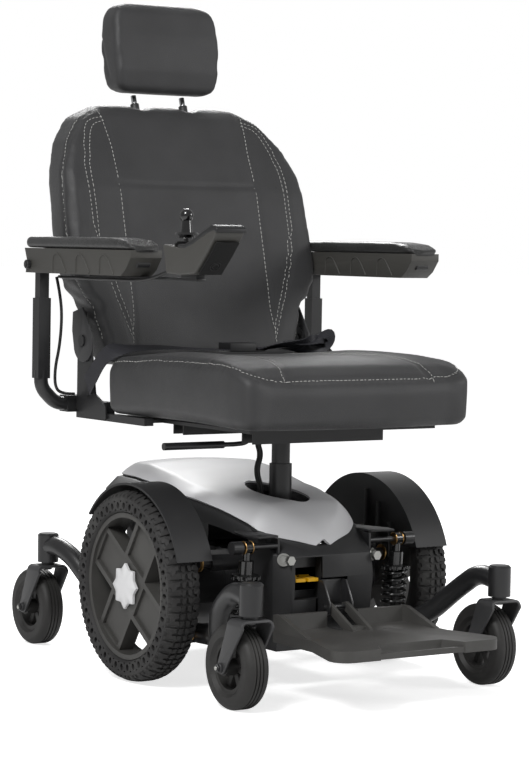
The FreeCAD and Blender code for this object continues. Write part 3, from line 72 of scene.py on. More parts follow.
# %% Camera
CAMERA_AT = Vector((-2.6765, -4.0913, 0.8188))
YAW, PITCH, ROLL = math.radians(33.2), math.radians(2.57), 0.016
look = Vector((math.sin(YAW) * math.cos(PITCH), math.cos(YAW) * math.cos(PITCH), -math.sin(PITCH)))
side_way = Vector((math.cos(YAW), -math.sin(YAW), 0))
up_way = side_way.cross(look)
side_way, up_way = (side_way * math.cos(ROLL) + up_way * math.sin(ROLL),
                    up_way * math.cos(ROLL) - side_way * math.sin(ROLL))
camera = bpy.data.objects.new("camera", bpy.data.cameras.new("camera"))
turn = Matrix((side_way, up_way, -look)).transposed()
camera.matrix_world = Matrix.Translation(CAMERA_AT) @ turn.to_4x4()
camera.data.lens = 118.3
camera.data.sensor_width = 36
camera.data.shift_x = 0.003
camera.data.shift_y = -0.042
bpy.context.collection.objects.link(camera)
bpy.context.scene.camera = camera
bpy.context.scene.view_settings.view_transform = "Standard"


# %% Light
def lamp(name, at, aim, size, watts):
    """A square soft box at a point, aimed at another."""
    light = bpy.data.lights.new(name, "AREA")
    light.size = size
    light.energy = watts
    thing = bpy.data.objects.new(name, light)
    thing.location = at
    thing.rotation_euler = (Vector(aim) - Vector(at)).to_track_quat("-Z", "Y").to_euler()
    bpy.context.collection.objects.link(thing)


lamp("key_box", (-2.6, -1.6, 3.2), (0, 0, 0.6), 1.2, 105)
lamp("fill_box", (2.8, -2.6, 1.8), (0, 0, 0.6), 1.2, 38)
lamp("rim_box", (1.2, 2.6, 2.6), (0, 0, 0.8), 1.2, 70)
world = bpy.data.worlds.new("studio")
bpy.context.scene.world = world
world.use_nodes = True
sky = world.node_tree
sky.nodes["Background"].inputs[1].default_value = 0.34
seen = sky.nodes.new("ShaderNodeBackground")
seen.inputs[1].default_value = 1.0
ray = sky.nodes.new("ShaderNodeLightPath")
pick = sky.nodes.new("ShaderNodeMixShader")
sky.nodes["Background"].inputs[0].default_value = (1, 1, 1, 1)
seen.inputs[0].default_value = (1, 1, 1, 1)
sky.links.new(ray.outputs["Is Camera Ray"], pick.inputs[0])
sky.links.new(sky.nodes["Background"].outputs[0], pick.inputs[1])
sky.links.new(seen.outputs[0], pick.inputs[2])
sky.links.new(pick.outputs[0], sky.nodes["World Output"].inputs[0])


# %% [markdown]
# ## Small tools
# Colours are given as they look on a screen and turned to light values by one function. One function adds a
# shader node, and one builds a mesh from points and faces.

# %% Tools
def linear(code, alpha=1.0):
    """A screen colour such as "3c3c3c" as linear light."""
    parts = [int(code[i:i + 2], 16) / 255 for i in (0, 2, 4)]
    return tuple(c / 12.92 if c <= 0.04045 else ((c + 0.055) / 1.055) ** 2.4 for c in parts) + (alpha,)


def add(tree, kind, settings=(), links=()):
    """Adds a node; settings are its values, links its inputs' sources."""
    new = tree.nodes.new(kind)
    for key, value in dict(settings).items():
        if isinstance(key, str) and hasattr(new, key):
            setattr(new, key, value)
        else:
            new.inputs[key].default_value = value
    for key, source in dict(links).items():
        tree.links.new(source, new.inputs[key])
    return new


def mesh_piece(name, points, faces, material, body, smooth=True):
    """A piece from points in metres; it rides on a body."""
    mesh = bpy.data.meshes.new(name)
    mesh.from_pydata([tuple(p) for p in points], [], faces)
    mesh.update()
    bm = bmesh.new()
    bm.from_mesh(mesh)
    bmesh.ops.remove_doubles(bm, verts=bm.verts, dist=1e-6)
    bmesh.ops.recalc_face_normals(bm, faces=bm.faces)
    bm.to_mesh(mesh)
    bm.free()
    mesh.materials.append(material)
    thing = bpy.data.objects.new(name, mesh)
    bpy.context.collection.objects.link(thing)
    if smooth:
        shade(thing)
    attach(thing, body)
    return thing


def shade(thing, degrees=35):
    """Smooth shading, with edges sharper than this kept crisp."""
    mesh = thing.data
    bm = bmesh.new()
    bm.from_mesh(mesh)
    limit = math.radians(degrees)
    for face in bm.faces:
        face.smooth = True
    for edge in bm.edges:
        edge.smooth = len(edge.link_faces) == 2 and edge.calc_face_angle(0) < limit
    bm.to_mesh(mesh)
    bm.free()


def apply_modifiers(thing):
    """Bakes a piece's modifiers into its mesh."""
    graph = bpy.context.evaluated_depsgraph_get()
    made = bpy.data.meshes.new_from_object(thing.evaluated_get(graph))
    thing.modifiers.clear()
    thing.data = made


def smooth_path(points, count):
    """Points spread evenly along a smooth line through the given ones."""
    pts = [Vector(p) for p in points]
    pts = [pts[0] * 2 - pts[1]] + pts + [pts[-1] * 2 - pts[-2]]
    fine = []
    for a, b, c, d in zip(pts, pts[1:], pts[2:], pts[3:]):
        for step in range(24):
            t = step / 24
            fine.append(0.5 * (2 * b + (c - a) * t + (2 * a - 5 * b + 4 * c - d) * t * t
                               + (3 * b - a - 3 * c + d) * t ** 3))
    fine.append(pts[-2])
    far = [0.0]
    for p, q in zip(fine, fine[1:]):
        far.append(far[-1] + (q - p).length)
    out, k = [], 0
    for number in range(count):
        want = far[-1] * number / (count - 1)
        while k < len(far) - 2 and far[k + 1] < want:
            k += 1
        span = far[k + 1] - far[k]
        out.append(fine[k].lerp(fine[k + 1], (want - far[k]) / span if span > 0 else 0))
    return out


# %% [markdown]
# ## Moulded, painted and rubber finishes
# Almost everything on the base is black or charcoal, so the finishes differ by their surface, not their hue:
# ABS has a fine sparked texture from its mould, powder paint has an orange-peel ripple, rubber is dull and
# dusty. One builder makes them all from a colour, a roughness and the size of the texture's grain.

# %% Surface builder
def surface(name, colour, rough, grain_mm, depth_mm, vary=0.12, metallic=0.0, coat=0.0, dust="8a8a86",
            dusty=0.0, ior=1.5, stretch=(1, 1, 1)):
    """A node material with a grain of this size, patchy colour and dust."""
    material = bpy.data.materials.new(name)
    material.use_nodes = True
    tree = material.node_tree
    shader = tree.nodes["Principled BSDF"]
    shader.inputs["Metallic"].default_value = metallic
    shader.inputs["IOR"].default_value = ior
    shader.inputs["Coat Weight"].default_value = coat
    shader.inputs["Coat Roughness"].default_value = 0.15
    where = add(tree, "ShaderNodeTexCoord")
    spread = add(tree, "ShaderNodeMapping", {"Scale": stretch}, {"Vector": where.outputs["Object"]})
    patches = add(tree, "ShaderNodeTexNoise", {"Scale": 14.0, "Detail": 3.0},
                  {"Vector": where.outputs["Object"]})
    grain = add(tree, "ShaderNodeTexNoise", {"Scale": 1000 / grain_mm, "Detail": 2.0},
                {"Vector": spread.outputs["Vector"]})
    base = linear(colour)
    dark = tuple(c * (1 - vary) for c in base[:3]) + (1,)
    light = tuple(min(1, c * (1 + vary)) for c in base[:3]) + (1,)
    tone = add(tree, "ShaderNodeMix", {"data_type": "RGBA", 6: dark, 7: light},
               {0: patches.outputs["Fac"]})
    top = add(tree, "ShaderNodeMapRange", {"From Min": 0.5, "From Max": 0.75, "To Max": dusty},
              {"Value": patches.outputs["Fac"]})
    worn = add(tree, "ShaderNodeMix", {"data_type": "RGBA", 7: linear(dust)},
               {0: top.outputs["Result"], 6: tone.outputs[2]})
    tree.links.new(worn.outputs[2], shader.inputs["Base Color"])
    gloss = add(tree, "ShaderNodeMapRange", {"To Min": max(0.02, rough - 0.06), "To Max": rough + 0.06},
                {"Value": patches.outputs["Fac"]})
    tree.links.new(gloss.outputs["Result"], shader.inputs["Roughness"])
    bump = add(tree, "ShaderNodeBump", {"Strength": 0.6, "Distance": depth_mm / 1000},
               {"Height": grain.outputs["Fac"]})
    tree.links.new(bump.outputs["Normal"], shader.inputs["Normal"])
    return material


# %% [markdown]
# Powder-coated steel: baked satin black paint with an orange-peel ripple of about 3 mm, which breaks up the
# highlights along the tubes.

# %% Paint, plastic and rubber
powder_coat = surface("satin_powder_coat", "232324", 0.36, 3.0, 0.08, coat=0.15)
plate_coat = surface("grey_powder_coat", "3a3a3b", 0.45, 2.0, 0.06)
spring_paint = surface("gloss_enamel", "141414", 0.16, 5.0, 0.03, coat=0.6)
# ABS mouldings: a spark-eroded mould leaves a fine matt texture, about 1 mm where it is drawn here
abs_charcoal = surface("textured_abs", "252526", 0.55, 1.2, 0.10, dusty=0.03)
abs_black = surface("black_nylon", "1d1d1e", 0.48, 1.5, 0.08)
abs_arm = surface("arm_abs", "403f3c", 0.5, 1.2, 0.08)
cover_paint = surface("matt_white_lacquer", "cfcfd1", 0.42, 4.0, 0.02, vary=0.02)
wheel_plastic = surface("glass_filled_nylon", "42413f", 0.55, 1.6, 0.10, dusty=0.05)
cap_plastic = surface("white_cap_abs", "dededf", 0.4, 3.0, 0.03, vary=0.02)
tread_rubber = surface("tyre_rubber", "242323", 0.68, 1.6, 0.16, dusty=0.10)
caster_rubber = surface("caster_rubber", "262524", 0.6, 2.0, 0.10, dusty=0.08)
cable_skin = surface("cable_pvc", "161616", 0.4, 3.0, 0.03)
foot_plastic = surface("footplate_abs", "434240", 0.5, 1.4, 0.12, dusty=0.06)
knob_gloss = surface("polished_phenolic", "0d0d0e", 0.08, 8.0, 0.01, coat=0.8)
button_plastic = surface("silvered_abs", "9c9da0", 0.28, 3.0, 0.02, metallic=0.5)
red_plastic = surface("red_acetal", "b3161a", 0.3, 3.0, 0.02, coat=0.4)
yellow_plastic = surface("yellow_nylon", "e0a90c", 0.4, 2.0, 0.05)
# bare metals: bright chrome on the headrest posts, dull zinc on the bolts, bronze on the bushes
chrome_plate = surface("bright_chrome", "d8d9db", 0.07, 6.0, 0.005, vary=0.02, metallic=1.0)
zinc_plate = surface("zinc_plate", "b4b4b0", 0.3, 2.0, 0.03, metallic=1.0)
sinter_bronze = surface("sintered_bronze", "c39a62", 0.32, 1.5, 0.02, metallic=1.0)
# near-black matt: the controller grille's own black, and painted shade lining the lever recess in the nose
black_grille_and_recess_shade = surface("black_grille_and_painted_recess_shade", "060606", 0.9, 3.0, 0.02)

# %% [markdown]
# ## Coated upholstery
# The seat is covered in a charcoal vinyl: a cloth with a soft plastic skin, embossed with a leather grain.
# The grain is a cell pattern 2.5 mm across (drawn a little coarse, so that it still shows) over a finer
# crackle, with slow waves where the foam pushes unevenly. A light sheen gives the edges their soft glow.


# %% Vinyl
def vinyl(name, colour, rough, wave_mm):
    """Embossed upholstery vinyl."""
    material = bpy.data.materials.new(name)
    material.use_nodes = True
    tree = material.node_tree
    shader = tree.nodes["Principled BSDF"]
    shader.inputs["IOR"].default_value = 1.48
    shader.inputs["Sheen Weight"].default_value = 0.12
    shader.inputs["Sheen Roughness"].default_value = 0.4
    where = add(tree, "ShaderNodeTexCoord").outputs["Object"]
    cells = add(tree, "ShaderNodeTexVoronoi", {"Scale": 400.0, "feature": "DISTANCE_TO_EDGE"},
                {"Vector": where})
    crackle = add(tree, "ShaderNodeTexNoise", {"Scale": 900.0, "Detail": 3.0}, {"Vector": where})
    slow = add(tree, "ShaderNodeTexNoise", {"Scale": 1000 / wave_mm, "Detail": 2.0}, {"Vector": where})
    pores = add(tree, "ShaderNodeMapRange", {"From Max": 0.25}, {"Value": cells.outputs["Distance"]})
    tone = add(tree, "ShaderNodeMapRange", {"From Min": 0.3, "From Max": 0.7, "To Min": 0.86, "To Max": 1.12},
               {"Value": slow.outputs["Fac"]})
    worn = add(tree, "ShaderNodeMix", {"data_type": "RGBA", "blend_type": "MULTIPLY", 0: 1.0,
                                       6: linear(colour)}, {7: tone.outputs["Result"]})
    tree.links.new(worn.outputs[2], shader.inputs["Base Color"])
    gloss = add(tree, "ShaderNodeMapRange", {"To Min": rough + 0.08, "To Max": rough - 0.04},
                {"Value": pores.outputs["Result"]})
    tree.links.new(gloss.outputs["Result"], shader.inputs["Roughness"])
    fine = add(tree, "ShaderNodeBump", {"Strength": 0.35, "Distance": 0.0002},
               {"Height": crackle.outputs["Fac"]})
    grain = add(tree, "ShaderNodeBump", {"Strength": 0.5, "Distance": 0.0003},
                {"Height": pores.outputs["Result"], "Normal": fine.outputs["Normal"]})
    waves = add(tree, "ShaderNodeBump", {"Strength": 0.5, "Distance": 0.003},
                {"Height": slow.outputs["Fac"], "Normal": grain.outputs["Normal"]})
    tree.links.new(waves.outputs["Normal"], shader.inputs["Normal"])
    return material


seat_vinyl = vinyl("charcoal_vinyl", "333334", 0.5, 90)
arm_vinyl = vinyl("armrest_vinyl", "2c2c2c", 0.30, 60)
thread = surface("bonded_polyester_thread", "a9a9a6", 0.6, 1.0, 0.05, vary=0.05)


# %% [markdown]
# Seat-belt webbing is woven flat from thick polyester yarns: a wave pattern across its width at 1.6 mm per
# yarn, with a glossy lustre along the threads.

# %% Webbing
webbing = bpy.data.materials.new("woven_webbing")
webbing.use_nodes = True
tree = webbing.node_tree
shader = tree.nodes["Principled BSDF"]
shader.inputs["Roughness"].default_value = 0.5
where = add(tree, "ShaderNodeTexCoord").outputs["Object"]
yarns = add(tree, "ShaderNodeTexWave", {"Scale": 100.0, "Distortion": 1.5, "bands_direction": "DIAGONAL"},
            {"Vector": where})
shades = add(tree, "ShaderNodeMix", {"data_type": "RGBA", 6: linear("17171a"), 7: linear("34343a")},
             {0: yarns.outputs["Fac"]})
tree.links.new(shades.outputs[2], shader.inputs["Base Color"])
lift = add(tree, "ShaderNodeBump", {"Strength": 0.6, "Distance": 0.0004}, {"Height": yarns.outputs["Fac"]})
tree.links.new(lift.outputs["Normal"], shader.inputs["Normal"])

# %% [markdown]
# ## Finishes for the frame's own parts
# The frame's parts keep their shape; each takes one of the finishes above.

# %% Give every frame part its finish
finishes = {
    "chassis_frame": powder_coat, "base_shroud": abs_charcoal, "top_cover": cover_paint,
    "fenders": abs_charcoal, "drive_motors": abs_black, "power_pack": abs_black,
    "footplate_bracket": powder_coat, "base_fasteners": zinc_plate, "pivot_bushes": sinter_bronze,
    "drive_tyre": tread_rubber, "drive_rim": wheel_plastic, "hub_cap": cap_plastic,
    "front_arm": powder_coat, "rear_arm": powder_coat, "front_fork": plate_coat, "rear_fork": plate_coat,
    "front_caster": caster_rubber, "rear_caster": caster_rubber, "shock_body": spring_paint,
    "shock_rod": powder_coat, "shock_spring": spring_paint, "arm_post": powder_coat, "arm_shell": abs_arm,
    "arm_pad": arm_vinyl, "seat_post": powder_coat, "seat_frame": powder_coat, "seat_cushion": seat_vinyl,
    "lap_belt": webbing, "belt_buckle": abs_black, "buckle_button": red_plastic,
    "swivel_lever": powder_coat, "controller_cable": cable_skin, "back_cushion": seat_vinyl,
    "back_frame": plate_coat, "headrest_pad": seat_vinyl, "headrest_posts": chrome_plate,
    "controller_housing": abs_arm, "joystick_gimbal": abs_black, "joystick_knob": knob_gloss,
    "power_button": button_plastic, "horn_button": button_plastic, "speed_dial": abs_black,
    "footplate": foot_plastic, "freewheel_lever": yellow_plastic}
for name, thing in nodes.items():
    plain = name.removesuffix("_right").removesuffix("_left")
    for part_slot in thing.material_slots:
        part_slot.material = finishes[plain]
print("finished", len(nodes), "frame parts")


# %% [markdown]
# ## Rounded mouldings
# Plastic mouldings never have knife edges. A copy of the frame's part is cleaned to its flat faces and given
# a small bevel, which catches a thin highlight along every edge.

# %% Rounded copies of moulded parts
def rounded_copy(node, width, angle=32, segments=3):
    """Stands for a frame part, with its edges rounded."""
    source = nodes[node]
    thing = bpy.data.objects.new(node + "_moulding", source.data.copy())
    bpy.context.collection.objects.link(thing)
    bm = bmesh.new()
    bm.from_mesh(thing.data)
    bmesh.ops.remove_doubles(bm, verts=bm.verts, dist=2e-5)
    bmesh.ops.dissolve_limit(bm, angle_limit=math.radians(2), verts=bm.verts, edges=bm.edges)
    bm.to_mesh(thing.data)
    bm.free()
    for old in ("custom_normal",):
        if old in thing.data.attributes:
            thing.data.attributes.remove(thing.data.attributes[old])
    bevel = thing.modifiers.new("soft_edges", "BEVEL")
    bevel.width = width
    bevel.segments = segments
    bevel.limit_method = "ANGLE"
    bevel.angle_limit = math.radians(angle)
    bevel.use_clamp_overlap = True
    apply_modifiers(thing)
    shade(thing, 30)
    plain = node.removesuffix("_right").removesuffix("_left")
    thing.data.materials.clear()
    thing.data.materials.append(finishes[plain])
    body = next(b for b, owned in bodies_of.items() if node in owned)
    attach(thing, body)
    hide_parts(node)
    return thing


bodies_of = frame["record"]["behaviour"]["bodies"]
for side in SIDES:
    rounded_copy("arm_shell_" + side, 0.003)
    rounded_copy("front_fork_" + side, 0.0012)
    rounded_copy("rear_fork_" + side, 0.0012)
rounded_copy("footplate", 0.003)
rounded_copy("footplate_bracket", 0.001)
rounded_copy("belt_buckle", 0.003)
rounded_copy("back_frame", 0.0012)

# %% [markdown]
# ## Upholstery
# Each cushion starts as its frame part, a little shrunk, and is blown up as cloth over foam: the pressure
# rounds its faces and lets the edges pull in. The cap keeps the swelling to what a foam cushion shows. Seams
# come after the blowing: a shallow valley pressed into the mesh, with stitches laid along it.


# %% Blow up a cushion
def soft_form(node, name, material, voxel, shrink, pressure, cap, rounding, shape=None):
    """A padded piece grown from a frame part."""
    source = nodes[node]
    thing = bpy.data.objects.new(name, source.data.copy())
    bpy.context.collection.objects.link(thing)
    home = BVHTree.FromPolygons([v.co for v in source.data.vertices],
                                [tuple(p.vertices) for p in source.data.polygons])
    remesh = thing.modifiers.new("even_skin", "REMESH")
    remesh.mode = "VOXEL"
    remesh.voxel_size = voxel
    relax = thing.modifiers.new("round_edges", "SMOOTH")
    relax.factor = 0.5
    relax.iterations = rounding
    apply_modifiers(thing)
    middle = sum((v.co for v in thing.data.vertices), Vector()) / len(thing.data.vertices)
    for vert, normal in [(v, v.normal.copy()) for v in thing.data.vertices]:
        vert.co -= normal * shrink
    start = [v.co.copy() for v in thing.data.vertices]
    cloth = thing.modifiers.new("stuffing", "CLOTH")
    cloth.settings.use_pressure = True
    cloth.settings.uniform_pressure_force = pressure
    cloth.settings.effector_weights.gravity = 0
    cloth.settings.quality = 4
    cloth.settings.tension_stiffness = 8
    cloth.settings.compression_stiffness = 8
    cloth.settings.bending_stiffness = 12
    scene = bpy.context.scene
    for step in range(1, 15):
        scene.frame_set(step)
    apply_modifiers(thing)
    scene.frame_set(1)
    for vert, old in zip(thing.data.vertices, start):
        move = vert.co - old
        if move.length > cap:
            vert.co = old + move.normalized() * cap
    calm = thing.modifiers.new("calm", "SMOOTH")
    calm.factor = 0.5
    calm.iterations = 20
    apply_modifiers(thing)
    # the finished pad keeps close to the space its frame part holds
    for vert in thing.data.vertices:
        near = home.find_nearest(vert.co)[0]
        vert.co = vert.co.lerp(near, 0.8)
    ease = thing.modifiers.new("ease", "SMOOTH")
    ease.factor = 0.5
    ease.iterations = 7
    apply_modifiers(thing)
    if shape:
        for vert in thing.data.vertices:
            vert.co = shape(vert.co, middle)
    thing.data.materials.clear()
    thing.data.materials.append(material)
    for face in thing.data.polygons:
        face.use_smooth = True
    body = next(b for b, owned in bodies_of.items() if node in owned)
    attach(thing, body)
    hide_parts(node)
    print(name, len(thing.data.vertices), "points")
    return thing


# %% Seams and stitches
def surface_tree(thing):
    return BVHTree.FromPolygons([v.co for v in thing.data.vertices],
                                [tuple(p.vertices) for p in thing.data.polygons])


def press_seam(thing, lines, depth, width):
    """Presses a valley along lines on the surface."""
    tree = surface_tree(thing)
    from mathutils.kdtree import KDTree
    marks = [tree.find_nearest(p)[0] for line in lines for p in smooth_path(line, 160)]
    finder = KDTree(len(marks))
    for number, mark in enumerate(marks):
        finder.insert(mark, number)
    finder.balance()
    for vert, normal in [(v, v.normal.copy()) for v in thing.data.vertices]:
        away = finder.find(vert.co)[2]
        if away < 3 * width:
            vert.co -= normal * depth * math.exp(-(away / width) ** 2)


def stitches(name, thing, lines, body, long=0.0062, gap=0.0026, thick=0.00075):
    """Short thread loops lying along lines on a cushion."""
    tree = surface_tree(thing)
    points, faces = [], []
    for line in lines:
        rough = smooth_path(line, 200)
        length = sum((b - a).length for a, b in zip(rough, rough[1:]))
        count = max(4, int(length / (long + gap)) * 3)
        fine = smooth_path(line, count + 1)
        for number in range(0, count - 1, 3):
            low, up_a = tree.find_nearest(fine[number])[:2]
            high, up_b = tree.find_nearest(fine[number + 2])[:2]
            run = high - low
            if run.length < 0.002:
                continue
            run = run.normalized()
            up = (up_a + up_b).normalized()
            across = run.cross(up).normalized()
            base = len(points)
            for share, lift, wide in ((0, 0.1, 0.45), (0.25, 0.9, 1), (0.75, 0.9, 1), (1, 0.1, 0.45)):
                spot = low.lerp(high, share)
                for turn in range(6):
                    angle = math.tau * turn / 6
                    points.append(spot + (across * math.cos(angle) * wide
                                          + up * (math.sin(angle) * 0.7 * wide + lift)) * thick)
            for ring in range(3):
                for turn in range(6):
                    a, b = base + ring * 6 + turn, base + ring * 6 + (turn + 1) % 6
                    faces.append((a, b, b + 6, a + 6))
            faces.append(tuple(range(base, base + 6))[::-1])
            faces.append(tuple(range(base + 18, base + 24)))
    return mesh_piece(name, points, faces, thread, body)


def mirrored(line):
    return [(-x, y, z) for x, y, z in line]


def rel(line):
    """Points in millimetres, counted from the drive axle, as metres."""
    return [Vector((x / 1000, y / 1000 + AXLE_Y, z / 1000)) for x, y, z in line]


# %% [markdown]
# ### Seat cushion
# A boxed cushion, 508 mm wide, whose top panel rises toward the sides and front and rolls down over the front
# edge. One stitched seam runs all round under the crown; two more run from the front edge back over the top.

# %% Seat cushion
def seat_shape(spot, middle):
    """Raises soft bolsters near the sides, rolls the front and tucks the bottom."""
    x, y, z = spot
    y_mm = (y - AXLE_Y) * 1000
    high = max(0.0, min(1.0, (z - 0.55) / 0.05))
    side_lift = math.exp(-((abs(x) - 0.19) / 0.055) ** 2) * (0.5 + 0.5 * math.cos(
        max(-1, min(1, (y_mm + 60) / 260)) * math.pi))
    spot.z += high * 0.007 * side_lift
    roll = max(0.0, (-y_mm - 225) / 95)
    corner = max(0.0, (abs(x) - 0.10) / 0.154)
    spot.z -= high * roll ** 2 * (0.006 + 0.014 * corner)
    low = max(0.0, min(1.0, (0.545 - z) / 0.06))
    spot.x *= 1 - 0.012 * low
    # square the front corners up, as the boxed cover does
    over_x, over_y = abs(x) - 0.192, (-263 - y_mm) / 1000
    if over_x > 0 and over_y > 0:
        reach = math.hypot(over_x, over_y)
        c, s = over_x / reach, over_y / reach
        grow = (c ** 5 + s ** 5) ** -0.2 - 1
        spot.x += math.copysign(over_x * grow, x)
        spot.y -= over_y * grow
    front = max(0.0, min(1.0, (-y_mm - 120) / 180)) * low
    spot.z -= 0.006 * front * (1 - (x / 0.27) ** 2)
    return spot


seat_pad = soft_form("seat_cushion", "seat_cushion_cover", seat_vinyl, 0.006, 0.006, 3.0, 0.012, 14,
                     seat_shape)
seat_edge = [(-254, 178, 580), (-255, 110, 588), (-255, 8, 596), (-255, -87, 601), (-255, -189, 601),
             (-252, -250, 595), (-232, -300, 585), (-190, -320, 576), (-120, -324, 571), (-40, -325, 573),
             (40, -325, 575), (120, -324, 576), (190, -320, 579), (232, -300, 587), (252, -250, 596),
             (255, -189, 601), (255, -87, 601), (255, 8, 596), (255, 110, 588), (254, 178, 580)]
fore_seam = [(-158, -324, 574), (-156, -318, 596), (-152, -290, 608), (-146, -240, 612)]
top_outer = [(-146, -240, 612), (-139, -150, 612), (-126, -30, 608), (-118, 60, 604), (-116, 110, 600)]
top_inner = [(x + 9, y, z) for x, y, z in top_outer]
cross_seam = [(-146, -240, 612), (-60, -262, 612), (0, -267, 612), (60, -262, 612), (146, -240, 612)]
cross_back = [(x, y + 9, z) for x, y, z in cross_seam]
seat_lines = [rel(seat_edge), rel(fore_seam), rel(mirrored(fore_seam)), rel(top_outer),
              rel(mirrored(top_outer))]
press_seam(seat_pad, seat_lines, 0.0028, 0.005)
stitches("seat_stitching", seat_pad,
         [rel([(x, y, z + 4) for x, y, z in seat_edge]), rel([(x - 4, y, z) for x, y, z in fore_seam]),
          rel([(-x + 4, y, z) for x, y, z in fore_seam]), rel([(x - 4, y, z) for x, y, z in top_outer]),
          rel([(x - 4, y, z) for x, y, z in top_inner]),
          rel(mirrored([(x - 4, y, z) for x, y, z in top_outer])),
          rel(mirrored([(x - 4, y, z) for x, y, z in top_inner]))], "seat")


# %% [markdown]
# ### Back cushion
# The back is a leaning, crowned panel between wide side gussets. Two seams run down it and meet curved double
# stitching that bows out to the widest part and returns to a V at the bottom; a plain seam crosses the middle
# panel. Where the hinge plates grip it, the vinyl wrinkles.

# %% Back cushion
def back_shape(spot, middle):
    """A crowned face, a pulled-in waist and wrinkles over the hinge plates."""
    x, y, z = spot
    face = 0.222 + 0.305 * (z - 0.608) + AXLE_Y
    ahead = max(0.0, 1 - abs(y - face) / 0.05)
    spot.y -= ahead * 0.005 * (1 - (abs(x) / 0.27) ** 2)
    edge = max(0.0, min(1.0, (abs(x) - 0.16) / 0.09)) * max(0.0, 1 - abs(y - face) / 0.10)
    edge *= max(0.0, min(1.0, (z - 0.62) / 0.12, (1.05 - z) / 0.1))
    spot.x += math.copysign(0.013 * edge, x)
    spot.y -= 0.012 * edge
    near = math.exp(-((z - 0.70) / 0.045) ** 2) * max(0.0, min(1.0, (abs(x) - 0.17) / 0.06))
    fold = math.sin((z * 1000 + y * 260) / 6.5) + 0.5 * math.sin((z * 1000 - y * 420) / 4.3)
    spot.x -= math.copysign(near * (0.0035 + 0.0022 * fold), x)
    return spot


back_pad = soft_form("back_cushion", "back_cushion_cover", seat_vinyl, 0.006, 0.006, 3.0, 0.012, 12,
                     back_shape)
inner_seam = [(163, 373, 1090), (160, 352, 1040), (156, 318, 920), (159, 287, 820), (160, 262, 740),
              (159, 245, 680), (163, 225, 624), (164, 218, 605)]
bow_outer = [(163, 360, 1064), (200, 356, 1050), (219, 340, 1003), (230, 322, 945), (232, 296, 860),
             (224, 275, 790), (203, 253, 722), (172, 232, 640), (165, 224, 620)]
bow_inner = [(161, 358, 1054), (191, 352, 1041), (209, 337, 998), (220, 320, 940), (222, 296, 862),
             (214, 275, 794), (194, 253, 728), (170, 236, 660), (164, 226, 630)]
gusset = [(190, 370, 1086), (238, 356, 1042), (250, 333, 970), (257, 290, 830), (250, 262, 735),
          (236, 242, 668), (228, 228, 620)]
middle_seam = [(-156, 318, 920), (-80, 316, 919), (0, 315, 919), (80, 316, 919), (156, 318, 920)]
press_seam(back_pad, [rel(inner_seam), rel(mirrored(inner_seam)), rel(bow_outer),
                      rel(mirrored(bow_outer))], 0.0018, 0.0045)
press_seam(back_pad, [rel(gusset), rel(mirrored(gusset)), rel(middle_seam)], 0.0032, 0.0045)
back_threads = [[(x + 4, y, z) for x, y, z in inner_seam], bow_outer, bow_inner,
                [(x + 5, y + 4, z) for x, y, z in gusset]]
stitches("back_stitching", back_pad,
         [rel(line) for line in back_threads] + [rel(mirrored(line)) for line in back_threads], "backrest")

# %% [markdown]
# ### Headrest and armrest pads
# The headrest is a plain padded block with a seam round its edge. The arm pads are moulded foam with a
# glossier skin, rolled down at the front.

# %% Headrest
def head_shape(spot, middle):
    """A little narrower than its frame part."""
    spot.x *= 0.94
    return spot


head_pad = soft_form("headrest_pad", "headrest_cover", seat_vinyl, 0.005, 0.004, 3.0, 0.009, 10,
                     head_shape)
low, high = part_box("headrest_pad")
mid_x, span_x, z_low, z_high = 0.0, high.x - 0.012, low.z + 0.02, high.z - 0.02
for sign, y_share in ((-1, 0.22), (1, 0.78)):
    depth = low.y + (high.y - low.y) * y_share
    loop = [Vector((span_x * math.cos(a) * min(1.0, 1.16 / max(abs(math.cos(a)), abs(math.sin(a))) / 1.16),
                    depth + (0.03 * math.sin(a)),
                    (z_low + z_high) / 2 + (z_high - z_low) / 2 * math.sin(a)
                    * min(1.0, 1.16 / max(abs(math.cos(a)), abs(math.sin(a))) / 1.16) * 1.1))
            for a in (math.tau * n / 16 for n in range(17))]
    if sign > 0:
        press_seam(head_pad, [loop], 0.0022, 0.004)

# %% Arm pads
for side in SIDES:
    soft_form("arm_pad_" + side, "arm_pad_cover_" + side, arm_vinyl, 0.004, 0.002, 1.5, 0.004, 8)


# %% [markdown]
# ## Lap belt
# Seat-belt webbing 44 mm wide comes from the anchor plates behind the hinge, lies over the back of the
# cushion and meets at a black buckle with a red button; spare webbing loops up beside the tongue.

# %% Straps
def strap(name, line, ups, width, body, thick=0.0012):
    """A flat ribbon along a line; ups are its face directions at the line's points."""
    count = 12 * (len(line) - 1) + 1
    path = smooth_path(line, count)
    faces_up = smooth_path(ups, count)
    points, faces = [], []
    for number, spot in enumerate(path):
        run = path[min(number + 1, count - 1)] - path[max(number - 1, 0)]
        up = faces_up[number].normalized()
        across = run.cross(up).normalized()
        up = across.cross(run).normalized()
        for wide in (-0.5, -0.47, 0, 0.47, 0.5):
            bulge = 0.35 if abs(wide) == 0.47 else 0
            for face_side in (1, -1):
                points.append(spot + across * width * wide + up * face_side * thick * (0.5 + bulge))
    for number in range(count - 1):
        a, b = number * 10, number * 10 + 10
        for k in range(4):
            faces.append((a + 2 * k, a + 2 * k + 2, b + 2 * k + 2, b + 2 * k))
            faces.append((a + 2 * k + 1, b + 2 * k + 1, b + 2 * k + 3, a + 2 * k + 3))
        faces.append((a, b, b + 1, a + 1))
        faces.append((a + 8, a + 9, b + 9, b + 8))
    for a in (0, (count - 1) * 10):
        for k in range(4):
            faces.append((a + 2 * k, a + 2 * k + 1, a + 2 * k + 3, a + 2 * k + 2))
    return mesh_piece(name, points, faces, webbing, body)


def mm(*spots):
    return rel(spots)


